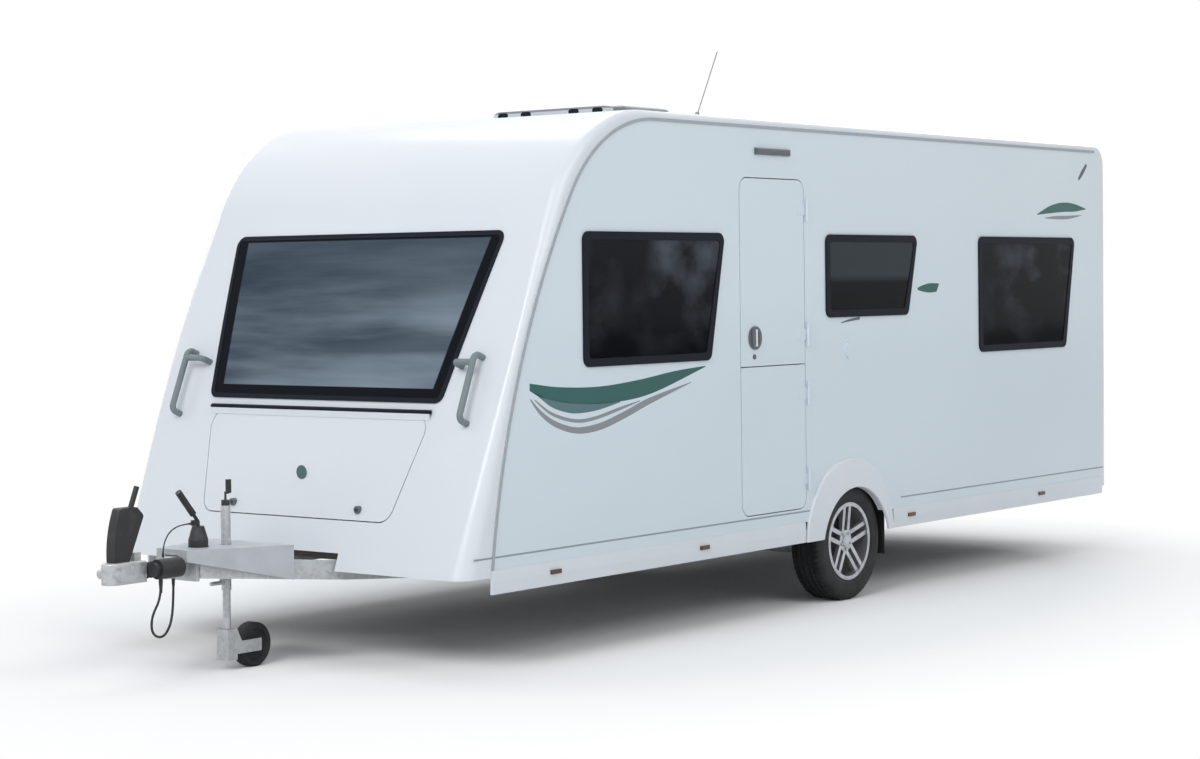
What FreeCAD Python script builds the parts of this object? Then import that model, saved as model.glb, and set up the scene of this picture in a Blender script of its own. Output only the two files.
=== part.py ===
import FreeCAD, Part

import math
import os
from types import SimpleNamespace

import Sketcher

Vector = FreeCAD.Vector
Rotation = FreeCAD.Rotation

# Single-axle travel caravan, four berths, as it stands parked on its wheels and jockey wheel.
# +X is the caravan's left, with the entrance door, +Y runs to the rear, +Z is up.
# The origin is on the ground, midway between the coupling's nose and the rear face.

# Driving dimensions in millimetres
# A "reach" is measured back from the coupling's nose, a "set" from the edge beside it,
# an "inset" in from the side wall's outer face and a "drop" down from the side wall's top.
SIZES = {
    # Whole vehicle
    "overall_length": 7250,
    "body_width": 2200,
    "side_top_z": 2495,
    "roof_rise": 35,
    "side_foot_z": 460,
    "skirt_foot_z": 355,
    "wall_thickness": 28,
    "cut_overrun": 40,
    "run_gap": 5,
    "seat_gap": 0.3,
    "bearing_gap": 0.1,
    "snap": 1,
    # Front moulding, its face and the side walls' front edge
    "drawbar_reach": 1050,
    "nose_foot_z": 430,
    "nose_waist_z": 1550,
    "nose_knee_drop": 395,
    "cheek_set": 179,
    "cheek_knee_drop": 359,
    "roof_joint_set": 1525,
    "edge_low_radius": 88,
    "edge_waist_radius": 30,
    "edge_knee_radius": 55,
    "edge_roof_radius": 28,
    "nose_inside_radius": 50,
    "notch_top_z": 508,
    "notch_depth": 60,
    # Rear moulding
    "rear_wall_set": 87,
    "tail_joint_set": 245,
    "tail_corner": 120,
    "side_rear_corner": 60,
    "edge_tail_radius": 60,
    "tail_foot_z": 400,
    # Floor and skirts
    "floor_foot_z": 470,
    "floor_top_z": 512,
    "floor_front_set": 80,
    "floor_rear_set": 120,
    "skirt_sheet": 12,
    "skirt_proud": 5,
    "skirt_bulge": 9,
    # Trim rails along the side walls' upper edge
    "rail_width": 14,
    "rail_proud": 6,
    # Front window
    "front_window_top_drop": 535,
    "front_window_foot_z": 1180,
    "front_window_top_inset": 232,
    "front_window_foot_inset": 358,
    "front_window_corner": 45,
    "front_window_proud": 6,
    "front_pane_thick": 20,
    "window_border": 22,
    # Side windows, and the one in the rear
    "window_head_drop": 560,
    "lounge_height": 593,
    "lounge_front_set": 875,
    "lounge_door_set": 156,
    "lounge_slant": 129,
    "kitchen_height": 405,
    "kitchen_door_set": 219,
    "kitchen_slant": 110,
    "bedroom_height": 635,
    "bedroom_tail_set": 447,
    "bedroom_slant": 130,
    "window_corner": 42,
    "window_flange": 16,
    "window_proud": 9,
    "window_rebate": 2,
    "pane_back": 16,
    "pane_front": 5,
    "tail_window_inset": 540,
    "tail_window_height": 570,
    "tail_window_drop": 595,
    # Entrance door, in two leaves
    "door_width": 585,
    "door_foot_z": 535,
    "door_split_z": 1280,
    "door_head_drop": 267,
    "door_corner": 60,
    "door_hinge_out": 12,
    "door_hinge_gap": 14,
    "door_arch_set": 47,
    "knuckle_radius": 7,
    "knuckle_length": 60,
    "knuckle_edge": 120,
    "leaf_sheet": 3,
    "handle_set": 118,
    "handle_rise": 145,
    "handle_radius": 42,
    "handle_depth": 8,
    "handle_grip": 12,
    "handle_grip_depth": 16,
    "awning_light_length": 310,
    "awning_light_height": 34,
    "awning_light_proud": 19,
    "awning_light_rise": 120,
    # Front locker lid
    "lid_head_z": 1122,
    "lid_foot_z": 655,
    "lid_head_inset": 397,
    "lid_foot_inset": 510,
    "lid_corner": 70,
    "lid_hinge_z": 1140,
    "lid_hinge_radius": 8,
    "lid_hinge_inset": 400,
    "lock_set": 190,
    "lock_z": 702,
    "lock_radius": 15,
    "lock_proud": 10,
    "boss_z": 853,
    "boss_radius": 33,
    "boss_proud": 5,
    "locker_shell": 8,
    "locker_back_set": 505,
    "locker_top_z": 1160,
    # Grab handles on the front moulding
    "grab_inset": 178,
    "grab_head_z": 1385,
    "grab_foot_z": 1095,
    "grab_arm": 110,
    "grab_arm_fall": 40,
    "grab_radius": 15,
    "grab_standoff": 62,
    # Wheels
    "wheel_inset": 130,
    "tyre_radius": 315,
    "tyre_width": 190,
    "tread_width": 150,
    "shoulder_drop": 12,
    "bead_radius": 209,
    "rim_radius": 190,
    "rim_width": 156,
    "flange_width": 10,
    "flange_radius": 207,
    "barrel_wall": 7,
    "spoke_width": 23,
    "spoke_spread": 52,
    "spoke_depth": 26,
    "hub_radius": 58,
    "hub_cap_radius": 31,
    "hub_cap_proud": 6,
    "rim_dish": 24,
    "hub_sink": 16,
    "bolt_circle": 44,
    "bolt_pocket": 8,
    "drum_radius": 118,
    "drum_width": 55,
    "drum_back_inset": 250,
    "stub_radius": 20,
    "stub_end_inset": 150,
    # Wheel arches
    "arch_forward": 2,
    "arch_centre_drop": 45,
    "arch_room": 20,
    "arch_lip": 30,
    "arch_bow_room": 120,
    "arch_bow_forward": 59,
    "arch_bow_rise": 14,
    "arch_proud": 15,
    "arch_edge": 9,
    "box_inner_inset": 260,
    "box_end_room": 36,
    "box_head_room": 96,
    "box_sheet": 6,
    # Chassis
    "rail_inset": 500,
    "rail_foot_z": 345,
    "rail_flange": 45,
    "rail_sheet": 4,
    "rail_front_set": 855,
    "rail_rear_set": 225,
    "leg_front_reach": 475,
    "leg_bend_set": 75,
    "leg_front_x": 62,
    "leg_front_foot_z": 440,
    "leg_front_top_z": 530,
    "leg_bend_foot_z": 385,
    "beam_sheet": 40,
    "axle_ahead": 170,
    "axle_drop": 15,
    "axle_tube_radius": 45,
    "axle_tube_inset": 310,
    "arm_thick": 35,
    "arm_radius": 38,
    "mudflap_width": 190,
    "mudflap_thick": 5,
    "mudflap_foot_z": 215,
    "mudflap_room": 30,
    # Overrun housing, coupling and brake lever
    "housing_half": 38,
    "housing_reach": 325,
    "housing_length": 340,
    "housing_foot_z": 448,
    "housing_top_z": 542,
    "flange_half": 78,
    "flange_thick": 20,
    "flange_foot_z": 428,
    "flange_top_z": 556,
    "tube_z": 495,
    "gaiter_radius": 36,
    "gaiter_root": 28,
    "head_length": 200,
    "head_half": 46,
    "head_foot_z": 452,
    "head_top_z": 545,
    "head_edge": 8,
    "latch_rise": 34,
    "latch_half": 18,
    "latch_length": 44,
    "socket_radius": 25.5,
    "socket_length": 36,
    "pad_radius": 24,
    "pad_proud": 26,
    "blade_half": 26,
    "blade_rise": 230,
    "blade_front": 8,
    "blade_root": 84,
    "blade_reach": 159,
    "blade_crest": 38,
    "blade_corner": 14,
    "blade_bow_radius": 520,
    "grip_radius": 12,
    "grip_rise": 85,
    "grip_set": 60,
    "grip_lean": 44,
    "brake_reach": 543,
    "brake_knee_z": 680,
    "brake_tip_set": 115,
    "brake_tip_z": 818,
    "brake_tube": 8,
    "brake_grip": 15,
    "brake_boot": 44,
    "brake_boot_rise": 118,
    "brake_lug": 36,
    # Drawbar cover
    "cover_reach": 385,
    "cover_rear_reach": 880,
    "cover_web_reach": 615,
    "cover_half": 96,
    "cover_top_z": 572,
    "cover_fall": 12,
    "cover_brim_z": 521,
    "cover_foot_z": 405,
    "cover_sheet": 5,
    "cover_room": 7,
    # Tow lead with its plug, and the breakaway cable
    "plug_x": 84,
    "plug_front_reach": 222,
    "plug_length": 130,
    "plug_tail": 22,
    "plug_radius": 43,
    "plug_z": 505,
    "plug_tail_radius": 30,
    "gland_radius": 9,
    "gland_length": 18,
    "lead_radius": 5.5,
    "lead_run": 80,
    "lead_end_x": 22,
    "cable_radius": 3,
    "cable_run": 50,
    "cable_start_reach": 335,
    # Jockey wheel
    "jockey_reach": 710,
    "jockey_tube": 22,
    "jockey_stem": 17.5,
    "jockey_top_z": 738,
    "jockey_tube_foot_z": 360,
    "jockey_stem_foot_z": 185,
    "jockey_lift": 150,
    "jockey_trail": 150,
    "jockey_wheel_radius": 100,
    "jockey_wheel_width": 60,
    "jockey_fork_sheet": 5,
    "jockey_fork_half_height": 28,
    "jockey_fork_foot_z": 48,
    "jockey_fork_half": 28,
    "jockey_axle": 8,
    "fork_gap": 2,
    "clamp_half": 34,
    "clamp_foot_z": 452,
    "clamp_top_z": 505,
    "clamp_screw_z": 395,
    "clamp_screw_length": 60,
    "clamp_screw_radius": 9,
    "beam_foot_z": 452,
    "crank_cap": 19,
    "crank_cap_rise": 24,
    "crank_arm": 20,
    "crank_rod": 5,
    "crank_grip": 13,
    "crank_grip_length": 60,
    "crank_grip_rise": 62,
    # Corner steadies
    "steady_inset": 400,
    "steady_front_set": 365,
    "steady_rear_set": 295,
    "steady_z": 428,
    "steady_length": 500,
    "steady_width": 44,
    "steady_depth": 34,
    "steady_sheet": 4,
    "steady_pin": 7,
    "steady_ear": 6,
    "steady_pad": 88,
    "steady_pad_sheet": 5,
    # Rooflight
    "light_half": 400,
    "light_set": 575,
    "light_length": 505,
    "light_rim": 50,
    "light_base_rise": 42,
    "light_dome_rise": 55,
    "light_dome_inset": 18,
    "light_dome_sheet": 5,
    "light_dome_edge": 33,
    "light_corner": 60,
    "light_hinge_radius": 6,
    "cowl_reach": 95,
    "cowl_room": 42,
    "cowl_inset": 20,
    "cowl_rise": 90,
    "cowl_crest": 12,
    "cowl_corner": 30,
    "cowl_foot": 10,
    "cowl_port_half": 20,
    "cowl_port_radius": 12,
    "cowl_port_depth": 16,
    "cowl_port_rise": 62,
    # Aerial
    "aerial_inset": 150,
    "aerial_set": 470,
    "aerial_base_radius": 17,
    "aerial_base_rise": 26,
    "aerial_length": 370,
    "aerial_whip": 2.5,
    # Lamps and small fittings
    "marker_z": 415,
    "marker_length": 72,
    "marker_height": 20,
    "marker_proud": 8,
    "marker_nose_set": 451,
    "marker_door_set": 345,
    "marker_arch_set": 190,
    "marker_tail_set": 903,
    "lamp_inset": 195,
    "lamp_half_width": 62,
    "lamp_foot_z": 640,
    "lamp_head_z": 1010,
    "lamp_depth": 14,
    "flue_set": 211,
    "flue_drop": 192,
    "flue_radius": 45,
    "flue_proud": 12,
    "vent_width": 420,
    "vent_height": 230,
    "vent_proud": 10,
    "vent_rim": 16,
    "vent_slat": 4,
    "vent_low_z": 800,
    "vent_high_rise": 670,
    "service_front_set": 1245,
    "service_rear_set": 865,
    "service_foot_z": 620,
    "service_head_z": 960,
    "service_corner": 35,
    # Cabin furniture and cushions
    "aisle_half": 440,
    "unit_board": 15,
    "lounge_seat_reach": 1050,
    "seat_top_z": 900,
    "cushion_thick": 120,
    "cushion_edge": 30,
    "bed_length": 1000,
    "bed_top_z": 900,
    "mattress_thick": 110,
    "kitchen_depth": 520,
    "kitchen_top_z": 1400,
    "tall_unit_top_z": 2240,
    "roof_locker_depth": 290,
    "roof_locker_foot_z": 2040,
    "roof_locker_head_z": 2400,
    "unit_gap": 30,
}

# Angles in degrees
ANGLES = {
    "nose_foot_lean": 19.5,
    "nose_knee_lean": 24.3,
    "cheek_foot_lean": 5.3,
    "cheek_knee_lean": 32,
    "steady_drop": 52,
    "aerial_rake": 29,
}

# Shares of another length
SHARES = {
    "axle_share": 0.5869,
    "kitchen_rear_share": 0.325,
    "bedroom_front_share": 0.583,
    "tyre_belly_share": 0.5,
    "drum_face_share": 0.7,
    "drum_edge_share": 0.8,
    "hub_spoke_share": 0.6,
    "bead_wall_share": 0.75,
    "boot_neck_share": 0.6,
    "grip_start_share": 0.25,
    "port_outer_share": 0.83,
    "port_inner_share": 0.42,
}

# The jockey wheel's section: places across its half width and up its radius
JOCKEY_SECTION_SHARES = ((1, 0.35), (0.7, 0.4), (0.7, 0.66), (1, 0.72), (1, 0.9), (0.7, 1))

# The tow lead and the breakaway cable: each run as a share of the basic run, and its heading above
# level in degrees, counted from the rear
LEAD_RUN_SHARES = ((0.8, -90), (1.1, -120), (1, -82), (1, -20), (1, 42), (1.3, 75))
CABLE_RUN_SHARES = ((0.9, 90), (1.16, 62), (1, 32), (1.1, 10))
CORD_BEND_SHARE = 0.45

GAITER_RIBS = 5
SPOKE_PAIRS = 5
VENT_SLATS = 6
HINGE_RAILS = 5

doc = FreeCAD.newDocument("TravelCaravan")


# A number that remembers the formula it came from


class Size:
    """A value in millimetres or degrees with the sheet formula that gives it."""

    def __init__(self, value, text):
        self.value = value
        self.text = text

    def __add__(self, other):
        other = as_size(other)
        return Size(self.value + other.value, "(%s + %s)" % (self.text, other.text))

    def __radd__(self, other):
        return as_size(other) + self

    def __sub__(self, other):
        other = as_size(other)
        return Size(self.value - other.value, "(%s - %s)" % (self.text, other.text))

    def __rsub__(self, other):
        return as_size(other) - self

    def __mul__(self, other):
        other = as_size(other)
        return Size(self.value * other.value, "(%s * %s)" % (self.text, other.text))

    def __rmul__(self, other):
        return as_size(other) * self

    def __truediv__(self, other):
        other = as_size(other)
        return Size(self.value / other.value, "(%s / %s)" % (self.text, other.text))

    def __neg__(self):
        return Size(-self.value, "(0 - %s)" % self.text)

    def __float__(self):
        return float(self.value)


def as_size(item):
    return item if isinstance(item, Size) else Size(float(item), "%.10g" % item)


def sine(angle):
    return Size(math.sin(math.radians(angle.value)), "sin(%s)" % angle.text)


def cosine(angle):
    return Size(math.cos(math.radians(angle.value)), "cos(%s)" % angle.text)


def root(size):
    return Size(math.sqrt(size.value), "sqrt(%s)" % size.text)


def fill_sheet():
    """Put every driving dimension in the sheet and return them as named sizes."""
    sheet = doc.addObject("Spreadsheet::Sheet", "Dims")
    sizes = {}
    for row, (name, value) in enumerate(list({**SIZES, **ANGLES, **SHARES}.items()), 1):
        sheet.set("A%d" % row, name)
        sheet.set("B%d" % row, str(value))
        sheet.setAlias("B%d" % row, name)
        sizes[name] = Size(float(value), "Dims." + name)
    doc.recompute()
    return SimpleNamespace(**sizes)


d = fill_sheet()
ZERO = as_size(0)

# Places that several pieces share, across the caravan
half_width = d.body_width / 2
inner_x = half_width - d.wall_thickness
wheel_x = half_width - d.wheel_inset
rail_x = half_width - d.rail_inset
box_inner_x = half_width - d.box_inner_inset
stub_end_x = half_width - d.stub_end_inset

# Along it
nose_y = -d.overall_length / 2
tail_y = d.overall_length / 2
foot_y = nose_y + d.drawbar_reach
joint_y = foot_y + d.roof_joint_set
rear_wall_y = tail_y - d.rear_wall_set
tail_joint_y = tail_y - d.tail_joint_set
axle_y = nose_y + d.overall_length * d.axle_share
arch_y = axle_y - d.arch_forward
bow_y = axle_y - d.arch_bow_forward
arch_radius = d.tyre_radius + d.arch_room
bow_radius = d.tyre_radius + d.arch_bow_room
door_rear_y = axle_y - bow_radius - d.door_arch_set
door_front_y = door_rear_y - d.door_width
floor_front_y = foot_y + d.floor_front_set
floor_rear_y = tail_y - d.floor_rear_set
rail_front_y = foot_y + d.rail_front_set
rail_rear_y = tail_y - d.rail_rear_set
leg_front_y = nose_y + d.leg_front_reach
leg_bend_y = foot_y + d.leg_bend_set
locker_back_y = foot_y + d.locker_back_set
jockey_y = nose_y + d.jockey_reach
brake_y = nose_y + d.brake_reach
housing_front_y = nose_y + d.housing_reach
light_front_y = joint_y + d.light_set
light_rear_y = light_front_y + d.light_length

# Upwards
roof_z = d.side_top_z + d.roof_rise
window_head_z = d.side_top_z - d.window_head_drop
door_head_z = d.side_top_z - d.door_head_drop
arch_centre_z = d.tyre_radius - d.arch_centre_drop
bow_z = d.tyre_radius + d.arch_bow_rise
axle_z = d.tyre_radius - d.axle_drop


def leg_centre_x(y):
    """How far out the drawbar leg's middle is at a place between its front end and the side rail."""
    share = (y - leg_front_y) / (rail_front_y - leg_front_y)
    return d.leg_front_x + (rail_x + d.rail_flange / 2 - d.leg_front_x) * share



# Ways to make and place shapes

nodes = []


def node(label, item):
    """Name a finished sub-part."""
    item.Label = label
    nodes.append(item)
    return item


def bind(item, prop, size):
    item.setExpression(prop, as_size(size).text)


def move(item, x=ZERO, y=ZERO, z=ZERO):
    for axis, size in (("x", x), ("y", y), ("z", z)):
        bind(item, "Placement.Base." + axis, size)
    return item


def turn_to(item, axis):
    """Turn a piece made along Z so that it runs along another axis."""
    directions = {"x": Vector(1, 0, 0), "y": Vector(0, 1, 0), "z": Vector(0, 0, 1)}
    item.Placement = FreeCAD.Placement(Vector(0, 0, 0), Rotation(Vector(0, 0, 1), directions[axis]))


def block(label, x, y, z):
    box = doc.addObject("Part::Box", label)
    for prop, (low, high) in zip(("Length", "Width", "Height"), (x, y, z)):
        bind(box, prop, high - low)
    return move(box, x[0], y[0], z[0])


def rod(label, axis, start, length, radius):
    bar = doc.addObject("Part::Cylinder", label)
    bind(bar, "Radius", radius)
    bind(bar, "Height", length)
    turn_to(bar, axis)
    return move(bar, *start)


def wedge(label, y, near, far):
    """A block between two rectangles, ((x, x), (z, z)) at the first y and at the second."""
    taper = doc.addObject("Part::Wedge", label)
    names = ("Xmin", "Xmax", "Zmin", "Zmax", "X2min", "X2max", "Z2min", "Z2max")
    values = near[0] + near[1] + far[0] + far[1]
    for name, size in zip(names, values):
        bind(taper, name, size)
    bind(taper, "Ymin", y[0])
    bind(taper, "Ymax", y[1])
    return taper


class Bend:
    """An arc between two outline points: its radius, and 1 if it turns left, -1 if right."""

    def __init__(self, radius, turn):
        self.radius = radius
        self.turn = turn

    def centre(self, start, end):
        ax, ay = (float(part) for part in start)
        bx, by = (float(part) for part in end)
        chord = math.hypot(bx - ax, by - ay)
        rise = math.sqrt(max(float(self.radius) ** 2 - chord ** 2 / 4, 0)) * self.turn
        return Vector((ax + bx) / 2 - rise * (by - ay) / chord, (ay + by) / 2 + rise * (bx - ax) / chord, 0)


def edge_between(start, end, bend):
    """One line or arc of a sketch, and whether it runs backwards."""
    a = Vector(float(start[0]), float(start[1]), 0)
    b = Vector(float(end[0]), float(end[1]), 0)
    if bend is None:
        return Part.LineSegment(a, b), False
    middle = bend.centre(start, end)
    circle = Part.Circle(middle, Vector(0, 0, 1), float(bend.radius))
    angles = [math.atan2(point.y - middle.y, point.x - middle.x) for point in (a, b)]
    if bend.turn < 0:
        angles.reverse()
    if angles[1] < angles[0]:
        angles[1] += 2 * math.pi
    return Part.ArcOfCircle(circle, angles[0], angles[1]), bend.turn < 0


def draw(body, plane, outline, offset=ZERO):
    """A closed sketch whose every point and radius is tied to the sheet."""
    sketch = body.newObject("Sketcher::SketchObject", "Outline")
    origin = [item for item in body.Origin.OriginFeatures if item.Role == plane + "_Plane"][0]
    sketch.AttachmentSupport = [(origin, "")]
    sketch.MapMode = "FlatFace"
    bind(sketch, "AttachmentOffset.Base.z", offset)
    points = [item for item in outline if not isinstance(item, Bend)]
    bends = []
    for index, item in enumerate(outline):
        if not isinstance(item, Bend):
            after = outline[(index + 1) % len(outline)]
            bends.append(after if isinstance(after, Bend) else None)
    count = len(points)
    edges = [edge_between(points[i], points[(i + 1) % count], bends[i]) for i in range(count)]
    sketch.addGeometry([edge for edge, backwards in edges], False)
    starts = [2 if backwards else 1 for edge, backwards in edges]
    joins = []
    for index in range(count):
        after = (index + 1) % count
        joins.append(Sketcher.Constraint("Coincident", index, 3 - starts[index], after, starts[after]))
    sketch.addConstraint(joins)
    sized = []
    for index, point in enumerate(points):
        for kind, size in zip(("DistanceX", "DistanceY"), point):
            size = as_size(size)
            rule = Sketcher.Constraint(kind, -1, 1, index, starts[index], float(size))
            sized.append((rule, size.text))
        if bends[index] is not None:
            radius = as_size(bends[index].radius)
            sized.append((Sketcher.Constraint("Radius", index, float(radius)), radius.text))
    sketch.addConstraint([rule for rule, text in sized])
    for number, (rule, text) in enumerate(sized, len(joins)):
        sketch.setExpression("Constraints[%d]" % number, text)
    return sketch


def new_body(label):
    body = doc.addObject("PartDesign::Body", label)
    doc.recompute()
    return body


def prism(label, plane, outline, span):
    """A body padded between two places along X (YZ outline), Y (XZ outline) or Z (XY outline)."""
    body = new_body(label)
    low, high = span
    back = plane == "XZ"
    sketch = draw(body, plane, outline, -low if back else low)
    pad = body.newObject("PartDesign::Pad", "Pad")
    pad.Profile = sketch
    bind(pad, "Length", high - low)
    pad.Reversed = back
    sketch.Visibility = False
    return body


def turned(label, axis, profile, at):
    """A body turned about its axis; the profile holds (along the axis, radius) points."""
    body = new_body(label)
    sketch = draw(body, "XY", profile)
    spin = body.newObject("PartDesign::Revolution", "Turning")
    spin.Profile = sketch
    spin.ReferenceAxis = (sketch, ["H_Axis"])
    spin.Angle = 360
    directions = {"x": Vector(1, 0, 0), "y": Vector(0, 1, 0), "z": Vector(0, 0, 1)}
    body.Placement = FreeCAD.Placement(Vector(0, 0, 0), Rotation(Vector(1, 0, 0), directions[axis]))
    return move(body, *at)


def fuse(label, *items):
    whole = doc.addObject("Part::MultiFuse", label)
    whole.Shapes = list(items)
    whole.Refine = True
    return whole


def cut(label, base, *tools):
    rest = doc.addObject("Part::Cut", label)
    rest.Base = base
    rest.Tool = tools[0] if len(tools) == 1 else fuse(label + " tools", *tools)
    return rest


def common(label, first, second):
    shared = doc.addObject("Part::Common", label)
    shared.Base = first
    shared.Tool = second
    return shared


def gather(label, *items):
    group = doc.addObject("Part::Compound", label)
    group.Links = list(items)
    return group


def mirrored(label, source):
    copy = doc.addObject("Part::Mirroring", label)
    copy.Source = source
    copy.Normal = Vector(1, 0, 0)
    return copy


def pair(label, source):
    """A piece and its mirror image on the other side of the caravan."""
    return gather(label, source, mirrored(label + " mirrored", source))


def rounded(label, base, radii):
    """Fillet the edges to which radii gives a radius, or two: at the lower and the higher end."""
    doc.recompute()
    chosen = []
    for number, edge in enumerate(base.Shape.Edges, 1):
        found = radii(edge)
        if found is None:
            continue
        first, last = found if isinstance(found, tuple) else (found, found)
        if edge.valueAt(edge.FirstParameter).z > edge.valueAt(edge.LastParameter).z:
            first, last = last, first
        chosen.append((edge.BoundBox.ZMin, number, float(first), float(last)))
    fillet = doc.addObject("Part::Fillet", label)
    fillet.Base = base
    # A chain of tangent edges takes its direction from the first that is given, so the lowest leads
    fillet.Edges = [entry[1:] for entry in sorted(chosen)]
    return fillet


def runs_along(edge, axis):
    """Whether an edge is a straight line along one axis."""
    ends = edge.valueAt(edge.LastParameter) - edge.valueAt(edge.FirstParameter)
    return edge.Curve.TypeId == "Part::GeomLine" and abs(abs(getattr(ends, axis)) - ends.Length) < ends.Length * 1e-6


def along(axis, radius, where=None):
    """Pick the straight edges along an axis, and a condition on their middle if one is given."""

    def radii(edge):
        if not runs_along(edge, axis):
            return None
        if where is not None and not where(edge.CenterOfMass):
            return None
        return radius

    return radii


def at_height(z, radius):
    """Pick the edges that lie in one level plane."""
    level = float(z)
    return lambda edge: radius if abs(edge.BoundBox.ZMin - level) < 1e-3 and edge.BoundBox.ZLength < 1e-3 else None


def pipe(label, points, bend_radii, radius):
    """A round bar along straight runs joined by tangent arcs, one radius at each inner point."""
    route = [Vector(*(float(part) for part in point)) for point in points]
    edges = []
    start = route[0]
    for index in range(1, len(route) - 1):
        before = (route[index - 1] - route[index]).normalize()
        after = (route[index + 1] - route[index]).normalize()
        half_turn = (math.pi - before.getAngle(after)) / 2
        reach = float(bend_radii[index - 1]) * math.tan(half_turn)
        enter = route[index] + before * reach
        leave = route[index] + after * reach
        bisector = (before + after).normalize()
        middle = route[index] + bisector * (float(bend_radii[index - 1]) * (1 / math.cos(half_turn) - 1))
        edges.append(Part.LineSegment(start, enter).toShape())
        edges.append(Part.Arc(enter, middle, leave).toShape())
        start = leave
    edges.append(Part.LineSegment(start, route[-1]).toShape())
    heading = route[1] - route[0]
    section = Part.Wire([Part.makeCircle(float(radius), route[0], heading)])
    bar = doc.addObject("Part::Feature", label)
    bar.Shape = Part.Wire(edges).makePipeShell([section], True, True)
    return bar


def rounded_box_outline(u, v, corner):
    """A rectangle with rounded corners, anticlockwise from its lower left."""
    (u0, u1), (v0, v1) = u, v
    return [
        (u0 + corner, v0), (u1 - corner, v0), Bend(corner, 1),
        (u1, v0 + corner), (u1, v1 - corner), Bend(corner, 1),
        (u1 - corner, v1), (u0 + corner, v1), Bend(corner, 1),
        (u0, v1 - corner), (u0, v0 + corner), Bend(corner, 1),
    ]


# The two leaning curves of the front


class Lean:
    """Two tangent arcs that rise from a foot, lean back more and more and end level at the crown."""

    def __init__(self, foot, knee, crown, low, high, leans):
        self.foot = foot
        self.knee = knee
        self.crown = crown
        self.low = low
        self.high = high
        self.leans = leans

    def inset(self, depth):
        """The same curve moved inwards by a depth."""
        foot_lean, knee_lean = self.leans
        foot = (self.foot[0] + depth * cosine(foot_lean), self.foot[1] - depth * sine(foot_lean))
        knee = (self.knee[0] + depth * cosine(knee_lean), self.knee[1] - depth * sine(knee_lean))
        crown = (self.crown[0], self.crown[1] - depth)
        return Lean(foot, knee, crown, self.low - depth, self.high - depth, self.leans)

    def at(self, z):
        """The point of the lower arc at a height."""
        foot_lean = self.leans[0]
        slope = sine(foot_lean) + (z - self.foot[1]) / self.low
        return (self.foot[0] + self.low * (cosine(foot_lean) - root(1 - slope * slope)), as_size(z))

    def up(self, start=None):
        """Outline items from the foot, or a point above it, to the crown."""
        first = self.foot if start is None else start
        return [first, Bend(self.low, -1), self.knee, Bend(self.high, -1), self.crown]

    def down(self, end=None):
        last = self.foot if end is None else end
        return [self.crown, Bend(self.high, 1), self.knee, Bend(self.low, 1), last]


def lean_curve(foot_y, foot_z, knee_z, top_z, foot_lean, knee_lean):
    low = (knee_z - foot_z) / (sine(knee_lean) - sine(foot_lean))
    knee_y = foot_y + low * (cosine(foot_lean) - cosine(knee_lean))
    high = (top_z - knee_z) / (1 - sine(knee_lean))
    crown_y = knee_y + high * cosine(knee_lean)
    return Lean((foot_y, foot_z), (knee_y, knee_z), (crown_y, top_z), low, high, (foot_lean, knee_lean))


nose = lean_curve(
    foot_y, d.nose_foot_z, d.side_top_z - d.nose_knee_drop, roof_z, d.nose_foot_lean, d.nose_knee_lean
)
cheek = lean_curve(
    foot_y + d.cheek_set, d.skirt_foot_z, d.side_top_z - d.cheek_knee_drop, d.side_top_z,
    d.cheek_foot_lean, d.cheek_knee_lean
)


def quad(front, rear, slant, sill, head, grow=ZERO):
    """A side window's outline: upright in front, slanted behind, grown or shrunk all round."""
    return [
        (front - grow, sill - grow),
        (rear - slant + grow, sill - grow),
        (rear + grow, head + grow),
        (front - grow, head + grow),
    ]


def front_quad(foot_half, head_half, foot_z, head_z, grow=ZERO):
    """A trapezoid seen from the front, grown or shrunk all round."""
    return [
        (-foot_half - grow, foot_z - grow),
        (foot_half + grow, foot_z - grow),
        (head_half + grow, head_z + grow),
        (-head_half - grow, head_z + grow),
    ]


def nose_band(label, out, inwards):
    """The front face's shell between two depths, wide enough for any cut."""
    outer = nose.inset(-out)
    inner = nose.inset(inwards)
    outline = [outer.foot, Bend(outer.low, -1), outer.knee, inner.knee, Bend(inner.low, 1), inner.foot]
    return prism(label, "YZ", outline, (-half_width, half_width))


def front_prism(label, outline, corner):
    """A prism along Y through the front face with rounded corners."""
    raw = prism(label + " raw", "XZ", outline, (foot_y - d.cut_overrun * 3, joint_y))
    return rounded(label, raw, along("y", corner))


# Body shell


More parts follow.
